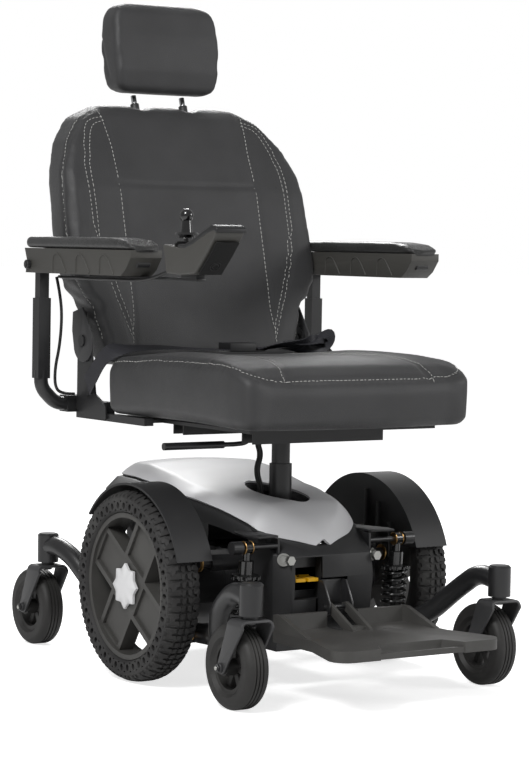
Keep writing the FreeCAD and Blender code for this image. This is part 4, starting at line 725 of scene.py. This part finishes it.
up, out_l, out_r = Vector((0, 0, 1)), Vector((1, 0, 0.1)), Vector((-1, 0, 0.1))
right_belt = strap("lap_belt_right", mm((-259.6, 236, 536), (-260, 214, 556), (-258, 176, 592),
                                        (-246, 158, 606), (-215, 150, 611), (-140, 148, 612),
                                        (-60, 149, 608), (2, 149, 606)),
                   [out_r, out_r, Vector((-0.9, -0.1, 0.5)), Vector((-0.4, -0.1, 1)), up, up, up, up],
                   0.044, "seat")
left_belt = strap("lap_belt_left", mm((259.6, 236, 536), (260, 214, 556), (258, 176, 592),
                                      (246, 158, 606), (222, 148, 616), (170, 146, 614), (120, 148, 611),
                                      (84, 149, 606)),
                  [out_l, out_l, Vector((0.9, -0.1, 0.5)), Vector((0.4, -0.1, 1)), up, up, up, up],
                  0.044, "seat")
spare = strap("lap_belt_spare", mm((70, 149, 608), (96, 140, 612), (130, 122, 614), (168, 106, 614),
                                   (196, 96, 618), (206, 94, 624), (198, 100, 629), (170, 112, 622),
                                   (150, 124, 621), (134, 140, 622)),
              [up, up, up, up, Vector((0.6, 0, 0.8)), Vector((1, 0, 0)), Vector((0.2, 0, -1)),
               Vector((0, 0, -1)), Vector((0, 0, -1)), Vector((0, 0, -1))], 0.044, "seat")
tongue = strap("lap_belt_tongue", mm((20, 149, 612), (34, 149, 612.5), (48, 149, 613)), [up, up, up],
               0.030, "seat", 0.0022)
tongue.data.materials[0] = zinc_plate
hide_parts("lap_belt")


# %% [markdown]
# ## Cables
# Round PVC cable: the controller's lead hangs in a slack loop inside the arm post, and a bundle of two cables
# comes down behind the seat post. Each is a smooth curve with a round section.

# %% Cables
def cable(name, line, radius, body, material=None):
    """A round cable along smooth control points."""
    curve = bpy.data.curves.new(name, "CURVE")
    curve.dimensions = "3D"
    curve.bevel_depth = radius
    curve.bevel_resolution = 4
    curve.resolution_u = 12
    spline = curve.splines.new("NURBS")
    spline.points.add(len(line) - 1)
    for spot, place in zip(spline.points, line):
        spot.co = (*place, 1)
    spline.order_u = 3
    spline.use_endpoint_u = True
    curve.use_fill_caps = True
    curve.materials.append(material or cable_skin)
    thing = bpy.data.objects.new(name, curve)
    bpy.context.collection.objects.link(thing)
    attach(thing, body)
    return thing
base_run = [(-22, -26, 459), (-31, -20, 440), (-24, -26, 415), (-33, -22, 385), (-23, -27, 350),
            (-26, -28, 330), (-22, -31, 318)]
arm_drop = cable("arm_cable_loop", rel([(-296, 297, 744), (-293, 289, 715), (-291, 282, 670),
                                        (-295, 283, 610), (-302, 288, 568), (-300, 291, 530),
                                        (-285, 290, 517), (-260, 284, 517)]), 0.003, "seat")
post_drop = cable("post_cable", rel(base_run), 0.0036, "seat")
post_twin = cable("post_cable_twin", rel([(x - 3, y + 5, z) for x, y, z in base_run]), 0.0028, "seat")
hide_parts("controller_cable")


def lathe(name, line, centre, axis_x, material, body, turns=96):
    """A ring turned about the X axis; line holds (x, radius) in metres."""
    points, faces = [], []
    for step in range(turns):
        angle = math.tau * step / turns
        for x, radius in line:
            points.append((axis_x * x, centre[1] + radius * math.cos(angle),
                           centre[2] + radius * math.sin(angle)))
    count = len(line)
    for step in range(turns):
        other = (step + 1) % turns
        for k in range(count - 1):
            faces.append((step * count + k, other * count + k, other * count + k + 1,
                          step * count + k + 1))
    return mesh_piece(name, points, faces, material, body)


# %% [markdown]
# ## Drive tyres
# A flat-free tyre of solid rubber: 44 oval holes round each sidewall let it flex, and the tread is a row of
# hooked blocks on each shoulder beside a wavy centre rib. The carcass is turned in one ring, each hole is a
# real pocket in its own sector of the sidewall, and the blocks are laid on the crown one pitch at a time.

# %% Tyre carcass and sidewall pockets
HOLES = 44
TYRE_MID = 0.279
HALF_TREAD = 0.033


def crown_radius(v):
    """The carcass radius at a distance v from the tyre's middle plane."""
    return WHEEL_R - 0.004 - 0.010 * (abs(v) / HALF_TREAD) ** 3.2


def wheel_spot(side, x, radius, angle):
    return Vector((side * x, AXLE_Y + radius * math.cos(angle), WHEEL_R + radius * math.sin(angle)))


def tyre(side_name, side):
    body, slot = "drive_wheel_" + side_name, "tyre_rubber"
    line = [(TYRE_MID - 0.024, 0.1365), (TYRE_MID - 0.030, 0.141), (TYRE_MID - 0.0325, 0.150),
            (TYRE_MID - 0.033, 0.158)]
    line += [(TYRE_MID + v / 1000, crown_radius(v / 1000)) for v in range(-33, 34, 3)]
    line += [(TYRE_MID + 0.0325, 0.1585)]
    carcass = lathe("drive_tyre_carcass_" + side_name, line, (0, AXLE_Y, WHEEL_R), side, tread_rubber,
                    body, 132)
    points, faces = [], []
    face_x = TYRE_MID + 0.0325
    for number in range(HOLES):
        mid = math.tau * number / HOLES
        half = math.pi / HOLES
        base = len(points)
        for step in range(16):
            turn = math.tau * (step + 0.5) / 16
            c, s = math.cos(turn), math.sin(turn)
            grow = 1 / max(abs(c), abs(s))
            points.append(wheel_spot(side, face_x, 0.1498 + 0.0088 * s * grow, mid + half * c * grow))
            oval = wheel_spot(side, face_x, 0.1498 + 0.0062 * s, mid + 0.0046 * c / 0.1498)
            points.append(oval)
            points.append(oval - Vector((side * 0.009, 0, 0)))
        for step in range(16):
            a, b = base + 3 * step, base + 3 * ((step + 1) % 16)
            faces.append((a, b, b + 1, a + 1))
            faces.append((a + 1, b + 1, b + 2, a + 2))
        faces.append(tuple(base + 3 * step + 2 for step in range(16)))
    mesh_piece("drive_tyre_sidewall_" + side_name, points, faces, tread_rubber, body)
    lathe("drive_tyre_bead_" + side_name,
          [(TYRE_MID + 0.0325, 0.141), (TYRE_MID + 0.030, 0.1385), (TYRE_MID + 0.024, 0.1365)],
          (0, AXLE_Y, WHEEL_R), side, tread_rubber, body, 132)
    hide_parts("drive_tyre_" + side_name)
    return carcass


# %% Tread blocks
HOOK = [(0.04, 15), (0.30, 14), (0.34, 20), (0.52, 22), (0.56, 12), (0.88, 10.5), (0.92, 20), (0.90, 31.5),
        (0.70, 32.5), (0.66, 28), (0.40, 28.5), (0.36, 32.8), (0.10, 32.5), (0.04, 27)]
SIPE = [(0.10, 2), (0.42, 4), (0.50, 9), (0.40, 11.5), (0.12, 10.5)]
PITCHES = 38


def tread(side_name, side):
    """Raised blocks over the crown: u runs round the tyre in pitches, v across in millimetres."""
    points, faces = [], []
    outlines = []
    for flip in (1, -1):
        outlines.append([(u + (0.5 if flip < 0 else 0), v * flip) for u, v in HOOK])
        outlines.append([(u + 0.45 + (0.5 if flip < 0 else 0), v * flip) for u, v in SIPE])
        outlines.append([(u - 0.04 + (0.5 if flip < 0 else 0), (v - 1) * flip) for u, v in SIPE])
    for number in range(PITCHES):
        for outline in outlines:
            base, count = len(points), len(outline)
            mid_u = sum(u for u, v in outline) / count
            mid_v = sum(v for u, v in outline) / count
            for inset, lift in ((1.0, -0.0005), (1.0, 0.0024), (0.94, 0.0036)):
                for u, v in outline:
                    angle = math.tau * (number + mid_u + (u - mid_u) * inset) / PITCHES
                    across = (mid_v + (v - mid_v) * inset) / 1000
                    points.append(wheel_spot(side, TYRE_MID + across, crown_radius(across) + lift, angle))
            for ring in range(2):
                for k in range(count):
                    a, b = base + ring * count + k, base + ring * count + (k + 1) % count
                    faces.append((a, b, b + count, a + count))
            faces.append(tuple(range(base + 2 * count, base + 3 * count)))
    return mesh_piece("drive_tyre_tread_" + side_name, points, faces, tread_rubber,
                      "drive_wheel_" + side_name, smooth=False)


for side_name, side in SIDES.items():
    tyre(side_name, side)
    tread(side_name, side)

# %% [markdown]
# ## Hub caps
# A white ABS cap with eight blunt points covers each axle nut. It is cut as a star with scalloped sides,
# crowned a little and bevelled.


# %% Hub caps
def hub_star(side_name, side):
    rings = []
    for share, x in ((1.0, 0.3028), (1.0, 0.3075), (0.93, 0.3095), (0.45, 0.3118), (0.0, 0.3122)):
        ring = []
        for step in range(96):
            angle = math.tau * step / 96
            wave = abs(((step / 96 * 8) % 1) * 2 - 1)
            radius = (0.0335 + 0.0090 * wave ** 1.5) * share
            ring.append(wheel_spot(side, x, radius, angle))
        rings.append(ring)
    points = [p for ring in rings for p in ring]
    faces = [(r * 96 + k, r * 96 + (k + 1) % 96, (r + 1) * 96 + (k + 1) % 96, (r + 1) * 96 + k)
             for r in range(4) for k in range(96)]
    cap = mesh_piece("hub_star_" + side_name, points, faces, cap_plastic, "drive_wheel_" + side_name)
    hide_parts("hub_cap_" + side_name)


for side_name, side in SIDES.items():
    hub_star(side_name, side)

# %% [markdown]
# ## Top cover
# The cover is one lacquered moulding. Its plan narrows towards the front like a boat; the top is a gentle dome
# that breaks along a crease, and below the crease the side falls away. The opening for the post is cut by an
# almond-shaped tool, as a trimming knife would cut it.


# %% Shape of the cover
PLAN = [(-200, 10), (-190, 34), (-160, 92), (-138, 112), (-63, 134), (24, 151), (150, 157), (275, 152),
        (310, 138), (338, 112)]
CROWN = [(-200, 268), (-190, 281), (-180, 294), (-160, 315), (-130, 337), (-40, 347), (57, 357), (150, 376),
         (230, 386), (300, 383), (320, 376), (338, 366)]
DROP = [(-200, 3), (-190, 12), (-160, 34), (-138, 38), (-63, 22), (24, 14), (150, 20), (230, 24), (338, 18)]


def along(table, y):
    """A smooth value at y from (y, value) pairs."""
    for (a, va), (b, vb) in zip(table, table[1:]):
        if y <= b:
            t = max(0.0, (y - a) / (b - a))
            return va + (vb - va) * t
    return table[-1][1]


def soft_along(table, y, reach=14):
    return sum(along(table, max(-200, min(338, y + k * reach / 3))) for k in (-3, -2, -1, 0, 1, 2, 3)) / 7


def cover_spot(u, y, lower=0.0, grow=0.0):
    """A point of the cover: u from -1 at one edge to 1 at the other."""
    half = soft_along(PLAN, y, 9) + grow
    crease = max(half * 0.45, half - 34)
    x = abs(u) * half
    drop = soft_along(DROP, y)
    z = soft_along(CROWN, y, 9) - 5 * (min(x, crease) / crease) ** 2
    if x > crease:
        t = (x - crease) / (half - crease)
        z -= drop * (0.75 * t + 0.25 * t ** 3)
    return Vector((math.copysign(x, u) / 1000, y / 1000 + AXLE_Y, (z - lower) / 1000))


# %% Cover
ROWS, COLS = 72, 44
cover_points, cover_faces = [], []
for row in range(ROWS + 1):
    y = -200 + 538 * (row / ROWS)
    for col in range(COLS + 1):
        u = math.sin((col / COLS - 0.5) * math.pi * 0.96) / math.sin(0.48 * math.pi)
        cover_points.append(cover_spot(u, y))
for row in range(ROWS):
    for col in range(COLS):
        a = row * (COLS + 1) + col
        cover_faces.append((a, a + 1, a + COLS + 2, a + COLS + 1))
cover = mesh_piece("cover_moulding", cover_points, cover_faces, cover_paint, "chassis")
if sum(p.normal.z for p in cover.data.polygons) < 0:
    cover.data.flip_normals()
wall = cover.modifiers.new("wall", "SOLIDIFY")
wall.thickness = 0.004
wall.offset = -1
apply_modifiers(cover)


def almond(name, grow, low_z, high_z, segments=48):
    """A pointed-oval prism round the post, for cutting and for rims."""
    ring = []
    for step in range(segments):
        angle = math.tau * step / segments
        s = math.sin(angle)
        wide = 45 + grow
        x = wide * math.cos(angle) * (1 - 0.28 * max(0.0, s) ** 2)
        y = (-38 + (95 + grow) * s)
        ring.append((x / 1000, y / 1000 + AXLE_Y))
    points = [(x, y, low_z) for x, y in ring] + [(x, y, high_z) for x, y in ring]
    faces = [(k, (k + 1) % segments, segments + (k + 1) % segments, segments + k) for k in range(segments)]
    return ring, points, faces


def cutter(name, points, faces):
    mesh = bpy.data.meshes.new(name)
    mesh.from_pydata(points, [], faces)
    bm = bmesh.new()
    bm.from_mesh(mesh)
    bmesh.ops.recalc_face_normals(bm, faces=bm.faces)
    bm.to_mesh(mesh)
    bm.free()
    thing = bpy.data.objects.new(name, mesh)
    bpy.context.collection.objects.link(thing)
    return thing


def cut_with(thing, tool):
    knife = thing.modifiers.new("cut", "BOOLEAN")
    knife.object = tool
    knife.operation = "DIFFERENCE"
    knife.solver = "EXACT"
    apply_modifiers(thing)
    bpy.data.objects.remove(tool)


ring, points, faces = almond("post_opening", 0, 0.2, 0.45)
faces += [tuple(range(48)), tuple(range(48, 96))]
cut_with(cover, cutter("opening_knife", points, faces))
shade(cover, 28)
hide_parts("top_cover")


# %% [markdown]
# ## Lower body panels
# Under the cover sits a charcoal shell of flat facets: a nose with a recess for the freewheel levers, chamfered
# corners that carry a bolt each, thin wedges that reach out over the suspension, and a band that follows the
# cover's edge to the back. A dark rim lines the post opening.

# %% Nose
def prism(name, outline, low, high, material, body, axis="z", width=0.0015):
    """A straight-sided block from an outline in millimetres, with small bevels."""
    def place(a, b, c):
        spot = {"z": (a, b, c), "x": (c, a, b), "y": (a, c, b)}[axis]
        return (spot[0] / 1000, spot[1] / 1000 + AXLE_Y, spot[2] / 1000)
    points = [place(a, b, low) for a, b in outline] + [place(a, b, high) for a, b in outline]
    n = len(outline)
    faces = [(k, (k + 1) % n, n + (k + 1) % n, n + k) for k in range(n)]
    faces += [tuple(range(n)), tuple(range(n, 2 * n))]
    thing = mesh_piece(name, points, faces, material, body, smooth=False)
    if width:
        bevel = thing.modifiers.new("soft_edges", "BEVEL")
        bevel.width = width
        bevel.segments = 2
        bevel.limit_method = "ANGLE"
        apply_modifiers(thing)
        shade(thing, 30)
    return thing


def block_knife(name, low, high):
    """A cutting block between two corners, in millimetres."""
    (x0, y0, z0), (x1, y1, z1) = low, high
    points = [(x / 1000, y / 1000 + AXLE_Y, z / 1000) for x in (x0, x1) for y in (y0, y1) for z in (z0, z1)]
    faces = [(0, 1, 3, 2), (4, 6, 7, 5), (0, 4, 5, 1), (2, 3, 7, 6), (0, 2, 6, 4), (1, 5, 7, 3)]
    return cutter(name, points, faces)


nose_rows = []
for z, front, corner, half, mid_y in ((122, -226, 88, 110, -198), (205, -231, 92, 110, -198),
                                      (246, -229, 86, 110, -198)):
    nose_rows.append([(-half, -120, z), (-half, mid_y, z), (-corner, front, z), (-30, front - 1, z),
                      (30, front - 1, z), (corner, front, z), (half, mid_y, z), (half, -120, z)])
nose_rows.append([(-119, -120, 294), (-108, -160, 281), (-84, -180, 270), (-24, -203, 259),
                  (24, -203, 259), (84, -180, 270), (108, -160, 281), (119, -120, 294)])
nose_rows.append([(-112, -112, 299), (-98, -146, 285), (-74, -166, 274), (-20, -190, 262),
                  (20, -190, 262), (74, -166, 274), (98, -146, 285), (112, -112, 299)])
nose_points = rel([p for row in nose_rows for p in row])
nose_faces = [(r * 8 + k, r * 8 + k + 1, (r + 1) * 8 + k + 1, (r + 1) * 8 + k)
              for r in range(4) for k in range(7)]
nose = mesh_piece("nose_panel", nose_points, nose_faces, abs_charcoal, "chassis",
                  smooth=False)
wall = nose.modifiers.new("wall", "SOLIDIFY")
wall.thickness = 0.003
wall.offset = 1 if sum(p.normal.y for p in nose.data.polygons) > 0 else -1
apply_modifiers(nose)
cut_with(nose, block_knife("recess_knife", (-82, -245, 166), (-22, -215, 243)))
cut_with(nose, block_knife("bracket_knife", (-34, -245, 118), (34, -215, 204)))
for sign in (-1, 1):
    cut_with(nose, block_knife("pin_knife", (sign * 114 - 9, -209, 255), (sign * 114 + 9, -191, 273)))
bevel = nose.modifiers.new("soft_edges", "BEVEL")
bevel.width = 0.0012
bevel.segments = 2
bevel.limit_method = "ANGLE"
apply_modifiers(nose)
shade(nose, 25)
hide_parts("base_shroud")

# the recess behind the levers is a dark box, open at the front: painted shade for the inside of the recess
recess = block_knife("lever_recess", (-82, -226, 166), (-22, -207, 243))
recess.data.materials.append(black_grille_and_recess_shade)
bm = bmesh.new()
bm.from_mesh(recess.data)
bmesh.ops.delete(bm, geom=[f for f in bm.faces if f.normal.y < -0.9], context="FACES_ONLY")
bmesh.ops.delete(bm, geom=[f for f in bm.faces if f.normal.y > 0.9], context="FACES_ONLY")
bm.to_mesh(recess.data)
bm.free()
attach(recess, "chassis")

# %% Side bands, wedges and tail
BAND_DEEP = [(-200, 4), (-170, 12), (-120, 26), (0, 34), (120, 44), (230, 52), (338, 50)]
for side_name, side in SIDES.items():
    points, faces = [], []
    rows = 60
    for row in range(rows + 1):
        y = -150 + 484 * row / rows
        edge = cover_spot(1, y)
        deep = soft_along(BAND_DEEP, y) / 1000
        out = 0.006 + 0.030 * max(0.0, min(1.0, (y - 60) / 160))
        for inset, below in ((0.005, 0.004), (-0.3 * out, 0.006), (-out, 0.014 + out * 0.4),
                             (-out + 0.001, deep + out * 0.5), (0.016, deep + out * 0.5 + 0.006),
                             (0.030, deep + out * 0.5)):
            points.append(Vector((side * (edge.x - inset), edge.y, edge.z - below)))
    for row in range(rows):
        for k in range(5):
            a, b = row * 6 + k, row * 6 + 6 + k
            faces.append((a, a + 1, b + 1, b))
    mesh_piece("side_band_" + side_name, points, faces, abs_charcoal, "chassis")
    # the thin wedge that reaches out over the shock's top mount
    prism("shock_ledge_" + side_name,
          [(side * 104, -206), (side * 152, -214), (side * 158, -186), (side * 132, -100), (side * 104, -120)],
          280, 284, abs_charcoal, "chassis", "z", 0.001)
tail_line = []
for step in range(33):
    u = -1 + 2 * step / 32
    tail_line.append(cover_spot(u * 0.97, 334))
points, faces = [], []
for spot in tail_line:
    for back, below in ((0.0, 0.004), (0.001, 0.012), (0.001, 0.052), (-0.012, 0.066)):
        points.append(Vector((spot.x, spot.y + back, spot.z - below)))
for step in range(32):
    for k in range(3):
        a, b = step * 4 + k, step * 4 + 4 + k
        faces.append((a, a + 1, b + 1, b))
mesh_piece("tail_band", points, faces, abs_charcoal, "chassis")
tail = prism("tail_skirt", [(-110, 200), (-110, 333), (110, 333), (110, 200), (106, 200), (106, 330),
                            (-106, 330), (-106, 200)], 120, 322, abs_charcoal, "chassis",
             "z", 0.0)

# %% Rim of the post opening
ring, points, faces = almond("rim", 1.5, 0.0, 0.0)
rim_points, rim_faces = [], []
for number, (x, y) in enumerate(ring):
    u = x * 1000 / soft_along(PLAN, (y - AXLE_Y) * 1000, 9)
    top = cover_spot(u, (y - AXLE_Y) * 1000)
    for share, below in ((1.0, 0.0062), (0.93, 0.0066), (0.93, 0.016), (1.02, 0.022)):
        rim_points.append((x * share, (y - AXLE_Y + 0.038) * share + AXLE_Y - 0.038, top.z - below))
for k in range(48):
    for j in range(3):
        a, b = k * 4 + j, ((k + 1) % 48) * 4 + j
        rim_faces.append((a, b, b + 1, a + 1))
mesh_piece("opening_rim", rim_points, rim_faces, abs_black, "chassis")

# %% [markdown]
# ## Bright metal details
# Thin sintered-bronze rings mark the suspension's pivots, and zinc bolts with washers hold the nose.


# %% Rings, studs, bolts and nuts
def tube_between(name, start, end, radius, material, body, sides=20, ends=0.0008):
    """A short round bar between two points in millimetres, with chamfered ends."""
    a, b = rel([start, end])
    run = (b - a).normalized()
    one = run.orthogonal().normalized()
    two = run.cross(one)
    points, faces = [], []
    length = (b - a).length
    for far, size in ((0, radius - ends), (ends, radius), (length - ends, radius), (length, radius - ends)):
        for k in range(sides):
            angle = math.tau * k / sides
            points.append(a + run * far + (one * math.cos(angle) + two * math.sin(angle)) * size)
    for ring in range(3):
        for k in range(sides):
            faces.append((ring * sides + k, ring * sides + (k + 1) % sides,
                          (ring + 1) * sides + (k + 1) % sides, (ring + 1) * sides + k))
    faces.append(tuple(range(sides)))
    faces.append(tuple(range(3 * sides, 4 * sides)))
    return mesh_piece(name, points, faces, material, body)


def bolt(name, at, away, size, body, material=None):
    """A hexagon head on a washer; at in millimetres, away is the outward direction."""
    at, away = Vector(at), Vector(away).normalized()
    material = material or zinc_plate
    tube_between(name + "_washer", at, at + away * size * 0.18, size * 0.00135, material, body, 28, 0.0003)
    tube_between(name + "_head", at + away * size * 0.18, at + away * size * 0.8, size * 0.00095, material,
                 body, 6, 0.0006)
    tube_between(name + "_stud", at + away * size * 0.8, at + away * size * 1.1, size * 0.0005, material,
                 body, 16, 0.0004)


for side_name, side in SIDES.items():
    arm = "front_arm_" + side_name
    for number, (x, y, z, r) in enumerate(((160.2, -200, 264, 0.0125), (175.8, -200, 264, 0.0125))):
        tube_between("shock_ring_%s_%d" % (side_name, number), (side * (x - 0.8), y, z),
                     (side * (x + 0.8), y, z), r, sinter_bronze, "shock_body_" + side_name)
    for k in range(12):
        angle = math.tau * k / 12
        tube_between("collar_stud_%s_%d" % (side_name, k),
                     (side * 168 + 26 * math.cos(angle), -197.5 + 26 * math.sin(angle), 206),
                     (side * 168 + 26 * math.cos(angle), -197.5 + 26 * math.sin(angle), 212),
                     0.0016, spring_paint, "shock_body_" + side_name, 8, 0.0003)
    bolt("nose_bolt_" + side_name, (side * 99, -217, 240), (side * 0.72, -1, 0.05), 9, "chassis")
    for end in ("front", "rear"):
        fork = "%s_fork_%s" % (end, side_name)
        low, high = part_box("%s_caster_%s" % (end, side_name))
        x_mid = (low.x + high.x) / 2 * 1000
        y_mid = ((low.y + high.y) / 2 - AXLE_Y) * 1000
        for way in (1, -1):
            tube_between("axle_nut_%s_%s_%d" % (end, side_name, way), (x_mid + way * 37, y_mid, 76),
                         (x_mid + way * 43, y_mid, 76), 0.0075, powder_coat, fork, 6)
            tube_between("axle_end_%s_%s_%d" % (end, side_name, way), (x_mid + way * 43, y_mid, 76),
                         (x_mid + way * 45, y_mid, 76), 0.004, zinc_plate, fork, 16)


# %% [markdown]
# ## Fender ribs
# Each fender is pressed ABS; upright ribs stiffen its inner wall.

# %% Ribs
for side_name, side in SIDES.items():
    for number, (y, low_z, high_z) in enumerate(((-96, 214, 282), (-58, 226, 318), (-18, 236, 340))):
        prism("fender_rib_%s_%d" % (side_name, number),
              [(side * 229.5, y - 3), (side * 229.5, y + 3), (side * 222, y + 2.2), (side * 222, y - 2.2)],
              low_z, high_z, abs_black, "chassis", "z", 0.0008)

# %% [markdown]
# ## Controller
# The joystick sits in the low rear of an ABS body that sweeps up to a rounded keypad. The body is one profile with
# generous rounds; a glossier lid follows its top, and a black grille with two round sound holes closes the
# underside.

# %% Body, lid and grille
STICK_X = -298


def swept(name, outline, half, width, material, segments=5):
    thing = prism(name, outline, STICK_X - half, STICK_X + half, material, "armrest_right",
                  "x", 0)
    bevel = thing.modifiers.new("rounds", "BEVEL")
    bevel.width = width
    bevel.segments = segments
    bevel.limit_method = "ANGLE"
    bevel.angle_limit = math.radians(20)
    apply_modifiers(thing)
    shade(thing, 40)
    return thing


body_line = [(-152, 812), (-166, 759), (-214, 757), (-262, 760), (-300, 796), (-330, 829), (-331, 838),
             (-316, 841), (-295, 831), (-228, 808), (-190, 807)]
body = swept("controller_body", body_line, 30, 0.0065, abs_arm)
lid_line = [(-206, 806), (-232, 805), (-258, 812), (-296, 829), (-326, 836), (-336, 832), (-337, 840),
            (-330, 845), (-318, 847), (-294, 837.5), (-256, 821), (-230, 813), (-206, 812)]
swept("controller_lid", lid_line, 31, 0.0028, abs_black, 4)
grille = swept("controller_grille", [(-266, 761.5), (-301, 794.5), (-323, 818), (-326, 815), (-303, 791),
                                     (-268, 758)], 24, 0.002, black_grille_and_recess_shade, 3)
for number, (y, z) in enumerate(((-284, 774.5), (-309, 800.5))):
    for ring_no, radius in enumerate((0.0105, 0.0065)):
        points, faces = [], []
        normal = Vector((0, -0.72, -0.69)).normalized()
        one, two = Vector((1, 0, 0)), normal.cross(Vector((1, 0, 0)))
        middle = rel([(STICK_X, y, z)])[0]
        for step in range(40):
            angle = math.tau * step / 40
            ray = one * math.cos(angle) + two * math.sin(angle)
            for r, h in ((radius, 0.0002), (radius, 0.0018), (radius - 0.0016, 0.0018), (radius - 0.0016, 0.0002)):
                points.append(middle + ray * r + normal * h)
        for step in range(40):
            for k in range(3):
                a, b = step * 4 + k, ((step + 1) % 40) * 4 + k
                faces.append((a, b, b + 1, a + 1))
        mesh_piece("controller_sound_hole_%d_%d" % (number, ring_no), points, faces, abs_black,
                   "armrest_right")
prism("controller_bar_cover", [(STICK_X - 9, -240), (STICK_X + 9, -240), (STICK_X + 9, 150),
                               (STICK_X - 9, 150)], 746, 752, powder_coat, "armrest_right",
      "z", 0.001)
prism("controller_foot", [(STICK_X - 9, -236), (STICK_X + 9, -236), (STICK_X + 9, -184),
                          (STICK_X - 9, -184)], 751, 760, abs_black, "armrest_right",
      "z", 0.001)
lead = cable("controller_lead", rel([(-312, -163, 766), (-315, -132, 757), (-318, -90, 747), (-319, -30, 744),
                                     (-321, 40, 745), (-319, 110, 743.5), (-318, 180, 745),
                                     (-312, 235, 744), (-302, 276, 745)]), 0.003, "armrest_right")
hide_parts("controller_housing")

# %% Bellows under the stick
points, faces = [], []
stick_y = -186 / 1000 + AXLE_Y
folds = [(0.0205, 0.8070), (0.0215, 0.8085), (0.0195, 0.8100), (0.0212, 0.8115), (0.0188, 0.8130),
         (0.0204, 0.8145), (0.0178, 0.8158), (0.0160, 0.8165)]
for step in range(64):
    angle = math.tau * step / 64
    for radius, z in folds:
        points.append((STICK_X / 1000 + radius * math.cos(angle), stick_y + radius * math.sin(angle), z))
for step in range(64):
    for k in range(len(folds) - 1):
        a, b = step * len(folds) + k, ((step + 1) % 64) * len(folds) + k
        faces.append((a, b, b + 1, a + 1))
mesh_piece("joystick_bellows", points, faces, cable_skin, "armrest_right")

# %% [markdown]
# ## Armrest mouldings
# Each arm's shell is moulded ABS with three hooked ribs on either face, a dark joint at its front end and a
# clamp knob where the post's hinge pin comes out.

# %% Ribs, front joints and knobs
for side_name, side in SIDES.items():
    arm = "armrest_" + side_name
    for face, x in (("outer", side * 348.2), ("inner", side * 281.8)):
        for number, y in enumerate((196, 106, 16)):
            curve = bpy.data.curves.new("arm_rib", "CURVE")
            curve.dimensions = "3D"
            curve.bevel_depth = 0.0014
            curve.bevel_resolution = 3
            spline = curve.splines.new("NURBS")
            line = rel([(x, y + 22, 755), (x, y + 22, 776), (x, y + 20, 786), (x, y + 8, 791),
                        (x, y - 4, 787), (x, y - 16, 774), (x, y - 30, 755)])
            spline.points.add(len(line) - 1)
            for spot, place in zip(spline.points, line):
                spot.co = (*place, 1)
            spline.order_u = 3
            spline.use_endpoint_u = True
            curve.materials.append(abs_arm)
            rib = bpy.data.objects.new("arm_rib_%s_%s_%d" % (side_name, face, number), curve)
            bpy.context.collection.objects.link(rib)
            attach(rib, arm)
    tube_between("arm_front_joint_" + side_name, (side * 300, -62, 775), (side * 330, -62, 775), 0.007,
                 abs_black, arm, 32, 0.002)
    tube_between("arm_clamp_" + side_name, (side * 348, 312, 768), (side * 356, 312, 768), 0.009,
                 powder_coat, arm, 12, 0.001)

# %% [markdown]
# ## Coil springs
# Each shock carries a cold-wound steel coil in gloss enamel. The coil is a copy of the frame's spring and rides on
# the shock's body.

# %% Springs
for side_name, side in SIDES.items():
    node = "shock_spring_" + side_name
    coil = bpy.data.objects.new("coil_" + side_name, nodes[node].data.copy())
    bpy.context.collection.objects.link(coil)
    coil.data.materials.clear()
    coil.data.materials.append(spring_paint)
    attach(coil, "shock_body_" + side_name)
    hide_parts(node)
    low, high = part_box(node)
    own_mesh(coil)

# %% Floor and finish
floor = bpy.data.meshes.new("studio_floor")
floor.from_pydata([(-40, -12, 0), (40, -12, 0), (40, 60, 0), (-40, 60, 0)], [], [(0, 1, 2, 3)])
paper = surface("white_paper", "f4f4f4", 0.8, 30.0, 0.01, vary=0.01)
tree = paper.node_tree
glow = add(tree, "ShaderNodeEmission", {"Color": (1, 1, 1, 1), "Strength": 0.72})
glow_ray = add(tree, "ShaderNodeLightPath")
dark = add(tree, "ShaderNodeEmission", {"Color": (0, 0, 0, 1), "Strength": 0.0})
only_seen = add(tree, "ShaderNodeMixShader", {}, {0: glow_ray.outputs["Is Camera Ray"],
                                                  1: dark.outputs[0], 2: glow.outputs[0]})
paper_out = next(n for n in tree.nodes if n.type == "OUTPUT_MATERIAL")
both = add(tree, "ShaderNodeAddShader", {}, {0: paper_out.inputs[0].links[0].from_socket,
                                             1: only_seen.outputs[0]})
tree.links.new(both.outputs[0], paper_out.inputs[0])
floor.materials.append(paper)
ground = bpy.data.objects.new("studio_floor", floor)
bpy.context.collection.objects.link(ground)
